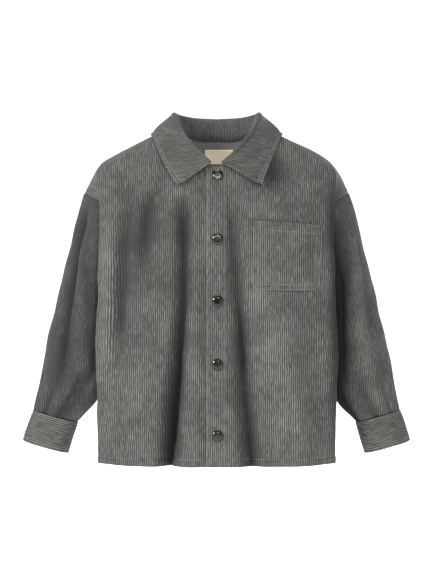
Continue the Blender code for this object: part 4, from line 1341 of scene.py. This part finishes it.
chest_tree = tree_of((left_chest, TO_FRONT))
columns = wale_columns(POCKET_LEFT - 2 * POCKET_NARROWING, POCKET_RIGHT)
points, places = [], []
for down in np.unique(POCKET_ROWS):
    (left, _), (right, _) = pocket_outline(0, down), pocket_outline(1, down)
    for x in np.clip(columns, left, right):
        x, z = pocket_outline((x - left) / (right - left), down)
        point, normal = on_front(chest_tree, x, z)
        mouth = pocket_outline((x - left) / (right - left), 0)[1]
        points.append(point + normal * (POCKET_LIFT + WALL))
        places.append((x, -z, min(x - left, right - x, z - POCKET_BOTTOM), mouth - z))
points = np.array(points).reshape(-1, len(columns), 3)
across, along, to_seam, to_mouth = np.moveaxis(np.array(places).reshape(-1, len(columns), 4), 2, 0)
lift = groove(to_seam, POCKET_EDGE, POCKET_EDGE_REACH)
lift += stitched(to_seam, *POCKET_STITCHES, depth=POCKET_STITCH_DEPTH) + stitched(to_mouth, MOUTH_STITCH)
lift += MOUTH_STANDS_OFF * smooth_step(1 - to_mouth / MOUTH_HEIGHT)
wear_and_painted_shade = (worn_edge(to_seam) + worn_edge(to_mouth)) * POCKET_WEAR
cloth("pocket", points, across, along, lift, TO_FRONT, WALL, PILE_BOTH_SIDES, None, wear_and_painted_shade)

# %% [markdown]
# ## Labels
#
# A bare tape label and a small size tab are sewn inside the back of the neck. Their finish is a plain
# weave: two sets of threads, as cosines of the place along each, with a little unevenness.

# %% Label cloth
THREAD = 0.0006
LABEL_PALE = (0.950, 0.820, 0.620, 1.0)
LABEL_DEEP = (0.880, 0.720, 0.490, 1.0)

label_cloth = Finish("label_cloth", Roughness=0.75, Sheen_Weight=0.1, Specular_IOR_Level=0.3)
warp, weft = [(threads * (math.pi / THREAD)).cosine() for threads in label_cloth.grain()]
weave = warp * weft
uneven = label_cloth.noise(260.0, 3.0)
label_cloth.vary("Base Color", label_cloth.mix(weave * 0.25 + uneven * 0.5, LABEL_PALE, LABEL_DEEP))
label_cloth.bump(weave, 0.0001, 0.5)

# %% Label and size tab
LABEL_WALL = 0.0008
LABEL_GAP = 0.0010
LABEL_STEP = 0.0015
SELVEDGE, SELVEDGE_DEPTH, SELVEDGE_REACH = 0.0015, 0.0003, 0.0006
NeckLabel = namedtuple("NeckLabel", "middle top width height")
NECK_LABELS = {
    "label": NeckLabel(0.0030, -0.0268, 0.038, 0.0195),
    "size_tab": NeckLabel(0.0253, -0.0300, 0.0055, 0.0120),
}
back_tree = tree_of((shoulders, TO_BACK))


def neck_label(name, label):
    downs = np.arange(0, label.height + LABEL_STEP / 2, LABEL_STEP)
    acrosses = np.arange(0, label.width + LABEL_STEP / 2, LABEL_STEP / 2)
    across, along = np.meshgrid(acrosses, downs)
    points = []
    for x, z in zip(label.middle - label.width / 2 + across.ravel(), label.top - along.ravel()):
        point, _, _, _ = back_tree.ray_cast(Vector((x, FAR, z)), Vector(TO_FRONT))
        points.append(point - Vector((0, WALL + LABEL_WALL + LABEL_GAP, 0)))
    points = np.array(points).reshape(*across.shape, 3)
    lift = groove(np.minimum(across, label.width - across) - SELVEDGE, SELVEDGE_DEPTH, SELVEDGE_REACH)
    finishes = (label_cloth.material, label_cloth.material)
    cloth(name, points, across, along, lift, TO_FRONT, LABEL_WALL, finishes, np.zeros_like(lift))


for name, label in NECK_LABELS.items():
    neck_label(name, label)

# %% [markdown]
# ## Stitches
#
# A line of topstitching is one stitch, modelled once as a stretched ball, and repeated along a line on the
# cloth. The lines are found from the same surfaces as the cloth, and lie in the groove that each row pulls
# in.

# %% Thread
THREAD_DARK = (0.150, 0.152, 0.140, 1.0)
THREAD_PALE = (0.300, 0.302, 0.280, 1.0)
thread = Finish("thread", Roughness=0.7, Sheen_Weight=0.1)
thread.vary("Base Color", thread.mix(thread.noise(400.0), THREAD_DARK, THREAD_PALE))
print("thread is ready")

# %% A row of stitches
STITCH_PITCH = 0.0030
STITCH_SIZE = (0.00125, 0.00036, 0.00030)
STITCH_RISE = 0.00022
STITCH_NUDGE = 0.001
SURFACE_NUDGE = (1e-3, 2e-3)


def one_stitch():
    bpy.ops.object.select_all(action="DESELECT")
    bpy.ops.mesh.primitive_ico_sphere_add(subdivisions=1, radius=1.0)
    ball = bpy.context.object
    corners = read(ball.data.vertices, "co", 3) * STITCH_SIZE
    faces = np.array([face.vertices[:] for face in ball.data.polygons])
    bpy.data.objects.remove(ball, do_unlink=True)
    return corners, faces


STITCH_CORNERS, STITCH_FACES = one_stitch()


def along_line(points, normals):
    """Places one stitch apart along a line of points, with the directions along it and out of the cloth."""
    on_line = length_along(points)
    count = max(int(on_line[-1] / STITCH_PITCH), 1)
    at = (np.arange(count) + 0.5) * on_line[-1] / count

    def values_at(places, values):
        return np.stack([np.interp(places, on_line, column) for column in values.T], axis=1)

    ahead = values_at(at + STITCH_NUDGE, points) - values_at(at - STITCH_NUDGE, points)
    return values_at(at, points), unit(ahead), unit(values_at(at, normals))


def stitches(name, lines):
    """All rows of stitches on a piece, as one mesh. Each line is its points and their normals."""
    corners, faces, first = [], [], 0
    for points, normals in lines:
        for place, ahead, out in zip(*along_line(points, normals)):
            side = np.cross(out, ahead)
            turned = STITCH_CORNERS @ np.stack([ahead, side, out])
            corners.append(turned + place + out * STITCH_RISE)
            faces.append(STITCH_FACES + first)
            first += len(STITCH_CORNERS)
    mesh = bpy.data.meshes.new(name)
    mesh.from_pydata(np.concatenate(corners).tolist(), [], np.concatenate(faces).tolist())
    mesh.materials.append(thread.material)
    mesh.shade_smooth()
    obj = bpy.data.objects.new(name, mesh)
    bpy.context.collection.objects.link(obj)
    print(name, "has", len(corners), "stitches")
    return obj


def on_surface(place, columns, rows, outward, lift):
    """A line on a surface: its points, raised by lift, and its normals."""
    columns, rows = np.broadcast_arrays(np.asarray(columns, float), np.asarray(rows, float))
    points = place(columns, rows)
    aside, below = SURFACE_NUDGE
    across = place(columns + aside, rows) - place(columns - aside, rows)
    down = place(columns, np.minimum(rows + below, 1)) - place(columns, np.maximum(rows - below, 0))
    normals = unit(np.cross(across, down))
    away = points - points.mean(axis=0) if outward is None else np.asarray(outward)
    normals *= np.sign(np.sum(normals * away, axis=1, keepdims=True) + 1e-9)
    return points + normals * lift, normals

# %% Stitches of the fronts, the back and the placket
GROOVE_BOTTOM = WALE_HEIGHT * (1 - WALE_REST) - STITCH_DEPTH
HEM_ENDS = 0.002
LEFT_HEM_FROM, RIGHT_HEM_FROM = PLACKET_SEWN + 0.0015, PLACKET_LAP + 0.002
STRIP_HEM = (-0.0125, 0.0110)
STRIP_FROM, STRIP_TO = (0.01, 0.05), 0.995


def right_front_surface(station, share):
    points = body("front", -1, station, share)
    points[:, 1] += under_placket(-1, station)
    return points


def hem_line(surface, first, last, count, outward):
    return on_surface(surface, np.linspace(first, last, count), HEM_SHARE, outward, GROOVE_BOTTOM)


hem_end = LAST_STATION - HEM_ENDS
stitches("stitches_front_right", [hem_line(right_front_surface, RIGHT_HEM_FROM, hem_end, 160, TO_FRONT)])
stitches("stitches_front_left", [hem_line(partial(body, "front", 1), LEFT_HEM_FROM, hem_end, 160, TO_FRONT)])
stitches("stitches_back", [hem_line(partial(body, "back", 1), -hem_end, hem_end, 300, TO_BACK)])
strip_lines = [on_surface(placket_surface, line, np.linspace(first, STRIP_TO, 300), TO_FRONT, GROOVE_BOTTOM)
               for line, first in zip(PLACKET_STITCHES, STRIP_FROM)]
stitches("stitches_placket", [*strip_lines, hem_line(placket_surface, *STRIP_HEM, 12, TO_FRONT)])

# %% Stitches of the cuffs
turn = np.linspace(0, 360, 121)
for side in (-1, 1):
    on_cuff = partial(cuff_surface, side)
    lines = [on_surface(on_cuff, turn, line / CUFF_HEIGHT, None, CUFF_RISE + GROOVE_BOTTOM)
             for line in CUFF_STITCHES]
    stitches(f"stitches_cuff_{hand(side)}", lines)

# %% Stitches of the pocket
MOUTH_STITCH_RISE = 0.0004
INSET_OVER = 0.8


def on_pocket(places, lift):
    """A line on the pocket through places seen from the front."""
    points, normals = [], []
    for x, z in places:
        point, normal = on_front(chest_tree, x, z)
        points.append(np.array(point) + np.array(normal) * (POCKET_LIFT + WALL + GROOVE_BOTTOM + lift))
        normals.append(np.array(normal))
    return np.array(points), np.array(normals)


def pocket_line(inset):
    """A line round the pocket's sides and bottom, a given way inside its edge."""
    middle, half_width = (POCKET_LEFT + POCKET_RIGHT) / 2, (POCKET_RIGHT - POCKET_LEFT) / 2
    outline = [(0, down) for down in np.linspace(0.01, 1, 60)]
    outline += [(across, 1) for across in np.linspace(0, 1, 50)]
    outline += [(1, down) for down in np.linspace(1, 0.01, 60)]
    places = []
    for x, z in (pocket_outline(*place) for place in outline):
        inwards = np.clip((middle - x) / (half_width * INSET_OVER), -1, 1)
        places.append((x + inset * inwards, max(z, POCKET_BOTTOM + inset)))
    return on_pocket(places, 0.0)


mouth = [pocket_outline(across, 0) for across in np.linspace(0.02, 0.98, 60)]
mouth_line = on_pocket([(x, z - MOUTH_STITCH) for x, z in mouth], MOUTH_STITCH_RISE)
stitches("stitches_pocket", [*[pocket_line(inset) for inset in POCKET_STITCHES], mouth_line])

# %% Stitches of the collar
INNER_ACROSS = 0.06

edge_around = np.linspace(0.02, 1.98, 240)
edge_across = np.full_like(edge_around, 3 - COLLAR_STITCH / FALL_FLAT * ROLL_ACROSS)
edge_points = settled(collar_place(edge_around, edge_across)[None], edge_around[None], edge_across[None])[0]
inner_points = collar_place(edge_around, edge_across - INNER_ACROSS)
edge_normals = unit(np.cross(np.gradient(edge_points, axis=0), edge_points - inner_points))
below = np.array([all_round.find_nearest(Vector(point))[0] for point in edge_points])
edge_normals *= np.sign(np.sum(edge_normals * (edge_points - below), axis=1, keepdims=True))
stitches("stitches_collar", [(edge_points + edge_normals * GROOVE_BOTTOM, edge_normals)])

# %% [markdown]
# ## Snaps
#
# Each snap is a pressed metal cap. A circle is extruded and narrowed ring by ring from its rim to the
# middle of its face, which is how a lathe would turn it, and copied to its five places on the placket.

# %% Gunmetal
METAL_DARK = (0.040, 0.041, 0.037, 1.0)
METAL_PALE = (0.075, 0.075, 0.069, 1.0)

snap_metal = Finish("snap_metal", Metallic=1.0, Coat_Roughness=0.15)
cloudy = snap_metal.noise(220.0, 3.0)
scuffs = snap_metal.noise(1400.0)
snap_metal.vary("Base Color", snap_metal.mix(cloudy, METAL_DARK, METAL_PALE))
snap_metal.vary("Roughness", cloudy * 0.08 + scuffs * 0.08 + 0.13)
snap_metal.bump(scuffs, 0.00003, 0.3)

# %% Snaps
# The rings of a cap, from its rim to its middle: radius and height
SNAP_X = 0.0010
SNAP_HEIGHTS = (-0.0680, -0.1530, -0.2355, -0.3190, -0.4135)
SNAP_RINGS = (
    (.0073, .0003), (.0076, .0009), (.0075, .0015), (.0071, .0020), (.0066, .00235), (.0060, .00268),
    (.0054, .00300), (.0051, .00312), (.0048, .00316), (.0025, .00318),
)
SNAP_CORNERS = 48


def snap_cap():
    """A cap at the origin, its face along +Z."""
    bpy.ops.object.select_all(action="DESELECT")
    radius, height = SNAP_RINGS[0]
    bpy.ops.mesh.primitive_circle_add(vertices=SNAP_CORNERS, radius=radius, fill_type="NOTHING")
    cap = bpy.context.object
    bpy.ops.object.mode_set(mode="EDIT")
    bpy.ops.mesh.select_all(action="SELECT")
    bpy.ops.mesh.extrude_region_move(TRANSFORM_OT_translate={"value": (0, 0, height)})
    for (last_radius, last_height), (radius, height) in zip(SNAP_RINGS, SNAP_RINGS[1:]):
        bpy.ops.mesh.extrude_region_move(TRANSFORM_OT_translate={"value": (0, 0, height - last_height)})
        scale = radius / last_radius
        bpy.ops.transform.resize(value=(scale, scale, 1))
    bpy.ops.mesh.edge_face_add()
    bpy.ops.mesh.poke()
    bpy.ops.mesh.select_all(action="SELECT")
    bpy.ops.mesh.normals_make_consistent(inside=False)
    bpy.ops.object.mode_set(mode="OBJECT")
    cap.data.shade_smooth()
    cap.data.materials.append(snap_metal.material)
    return cap


strip_tree = tree_of((strip, TO_FRONT))
pattern_cap = snap_cap()
snaps = []
for number, z in enumerate(SNAP_HEIGHTS, start=1):
    cap = pattern_cap.copy()
    cap.data = pattern_cap.data.copy()
    cap.name = cap.data.name = f"snap_cap_{number}"
    bpy.context.collection.objects.link(cap)
    point, normal = on_front(strip_tree, SNAP_X, z)
    cap.location = point + normal * WALE_HEIGHT * (1 - WALE_REST)
    cap.rotation_euler = normal.to_track_quat("Z", "Y").to_euler()
    bpy.ops.object.select_all(action="DESELECT")
    cap.select_set(True)
    bpy.context.view_layer.objects.active = cap
    bpy.ops.object.transform_apply(location=True, rotation=True, scale=True)
    snaps.append(cap)
bpy.data.objects.remove(pattern_cap, do_unlink=True)
print(len(snaps), "snaps")

# %% [markdown]
# ## What stands for what
#
# Every piece rides on the one body and replaces the plain solid of its name, and the stitches sewn in it ride
# on the body too. A table also gives the size that each sheet was cut to.

# %% Rides and solids
Cut = namedtuple("Cut", "width length area held rests_on")
CUTS = {
    "front_right": Cut(0.240, 0.450, 0.1040, "hung", ["back"]),
    "front_left": Cut(0.220, 0.450, 0.0936, "hung", ["back"]),
    "back": Cut(0.440, 0.450, 0.1700, "hung", ["front_right", "front_left"]),
    "placket": Cut(0.028, 0.430, 0.0120, "hung", ["front_left"]),
    "sleeve_right": Cut(0.330, 0.310, 0.0660, "hung", ["back", "front_right"]),
    "sleeve_left": Cut(0.330, 0.310, 0.0660, "hung", ["back", "front_left"]),
    "cuff_right": Cut(0.195, 0.0448, 0.0087, "hung", ["sleeve_right"]),
    "cuff_left": Cut(0.195, 0.0448, 0.0087, "hung", ["sleeve_left"]),
    "collar": Cut(0.460, 0.090, 0.0360, "folded", ["back", "front_right", "front_left"]),
    "pocket": Cut(0.0945, 0.0945, 0.0088, "hung", ["front_left"]),
    "label": Cut(0.038, 0.0195, 0.00074, "hung", ["back"]),
    "size_tab": Cut(0.012, 0.0120, 0.00007, "hung", ["back"]),
}
STITCHED = ("front_right", "front_left", "back", "placket", "cuff_right", "cuff_left", "pocket", "collar")

for name, cut in CUTS.items():
    piece = bpy.data.objects[f"cloth_{name}"]
    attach(piece, "root")
    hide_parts(name)
    sewn_in = [bpy.data.objects[f"stitches_{name}"]] if name in STITCHED else []
    for row in sewn_in:
        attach(row, "root")
for number, cap in enumerate(snaps, start=1):
    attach(cap, "root")
    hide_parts(f"snap_{number}")

# %% [markdown]
# ## The studio
#
# A pale floor sweeps up into a pale wall, as a roll of paper does in a studio. Two large soft lights do
# most of the work: one stands to the upper left, and one in front, above the camera. A weaker one stands
# opposite, one hangs above, two narrow ones at the sides give the snaps their rims, and one behind lights
# the back.

# %% Floor and wall
FLOOR, FLOOR_SIZE = -0.60, 8.0
WALL_FROM, WALL_RISE = 1.0, 5.0
SWEEP_WIDTH, SWEEP_STEPS = 1.5, 16
PAPER_WHITE = (0.90, 0.90, 0.90, 1.0)
PAPER_GREY = (0.86, 0.86, 0.86, 1.0)

paper = Finish("studio_paper", Roughness=0.9, Emission_Strength=0.62)
paper.shader.inputs["Emission Color"].default_value = (1.0, 1.0, 1.0, 1.0)
paper.vary("Base Color", paper.mix(paper.noise(3.0) * 0.1, PAPER_WHITE, PAPER_GREY))

bpy.ops.object.select_all(action="DESELECT")
bpy.ops.mesh.primitive_plane_add(size=FLOOR_SIZE, location=(0, 0, FLOOR))
stage = bpy.context.object
stage.name = "studio_sweep"
bpy.ops.object.mode_set(mode="EDIT")
bpy.ops.mesh.select_all(action="DESELECT")
bpy.ops.object.mode_set(mode="OBJECT")
for edge in stage.data.edges:
    edge.select = all(stage.data.vertices[i].co.y > WALL_FROM for i in edge.vertices)
bpy.ops.object.mode_set(mode="EDIT")
bpy.ops.mesh.select_mode(type="EDGE")
bpy.ops.mesh.extrude_region_move(TRANSFORM_OT_translate={"value": (0, 0, WALL_RISE)})
bpy.ops.object.mode_set(mode="OBJECT")
sweep = stage.modifiers.new("sweep", "BEVEL")
sweep.width = SWEEP_WIDTH
sweep.segments = SWEEP_STEPS
sweep.limit_method = "ANGLE"
bpy.context.view_layer.objects.active = stage
bpy.ops.object.modifier_apply(modifier="sweep")
bpy.ops.object.transform_apply(location=True, rotation=True, scale=True)
stage.data.shade_smooth()
stage.data.materials.append(paper.material)

# %% Lights
# Each lamp's place, what it looks at, its size in metres and its power in watts
WORLD_LIGHT = 0.09
Lamp = namedtuple("Lamp", "name spot aim width height power")
LAMPS = (
    Lamp("key", (-2.2, -1.9, 1.2), (0, 0, -0.2), 0.8, 0.8, 72),
    Lamp("front", (0.4, -3.0, 1.3), (0, 0, -0.2), 1.2, 1.2, 62),
    Lamp("fill", (2.2, -2.0, 0.4), (0, 0, -0.25), 1.2, 1.2, 7),
    Lamp("top", (0.0, 0.1, 2.2), (0, 0, -0.2), 1.2, 1.0, 24),
    Lamp("rim_left", (-1.5, -1.0, -0.2), (0, 0, -0.25), 0.20, 1.2, 1.2),
    Lamp("rim_right", (1.5, -1.0, -0.2), (0, 0, -0.25), 0.20, 1.2, 1.0),
    Lamp("behind", (0.5, 2.6, 0.9), (0, 0, -0.2), 1.8, 1.8, 55),
)
for lamp in LAMPS:
    light = bpy.data.lights.new(lamp.name, "AREA")
    light.shape = "RECTANGLE"
    light.size, light.size_y = lamp.width, lamp.height
    light.energy = lamp.power
    obj = bpy.data.objects.new(lamp.name, light)
    bpy.context.collection.objects.link(obj)
    obj.location = lamp.spot
    obj.rotation_euler = (Vector(lamp.aim) - Vector(lamp.spot)).to_track_quat("-Z", "Y").to_euler()

world = bpy.data.worlds.new("studio")
world.use_nodes = True
background = world.node_tree.nodes["Background"]
background.inputs["Color"].default_value = (1, 1, 1, 1)
background.inputs["Strength"].default_value = WORLD_LIGHT
bpy.context.scene.world = world
bpy.context.scene.view_settings.view_transform = "Standard"
print(len(LAMPS), "lights")
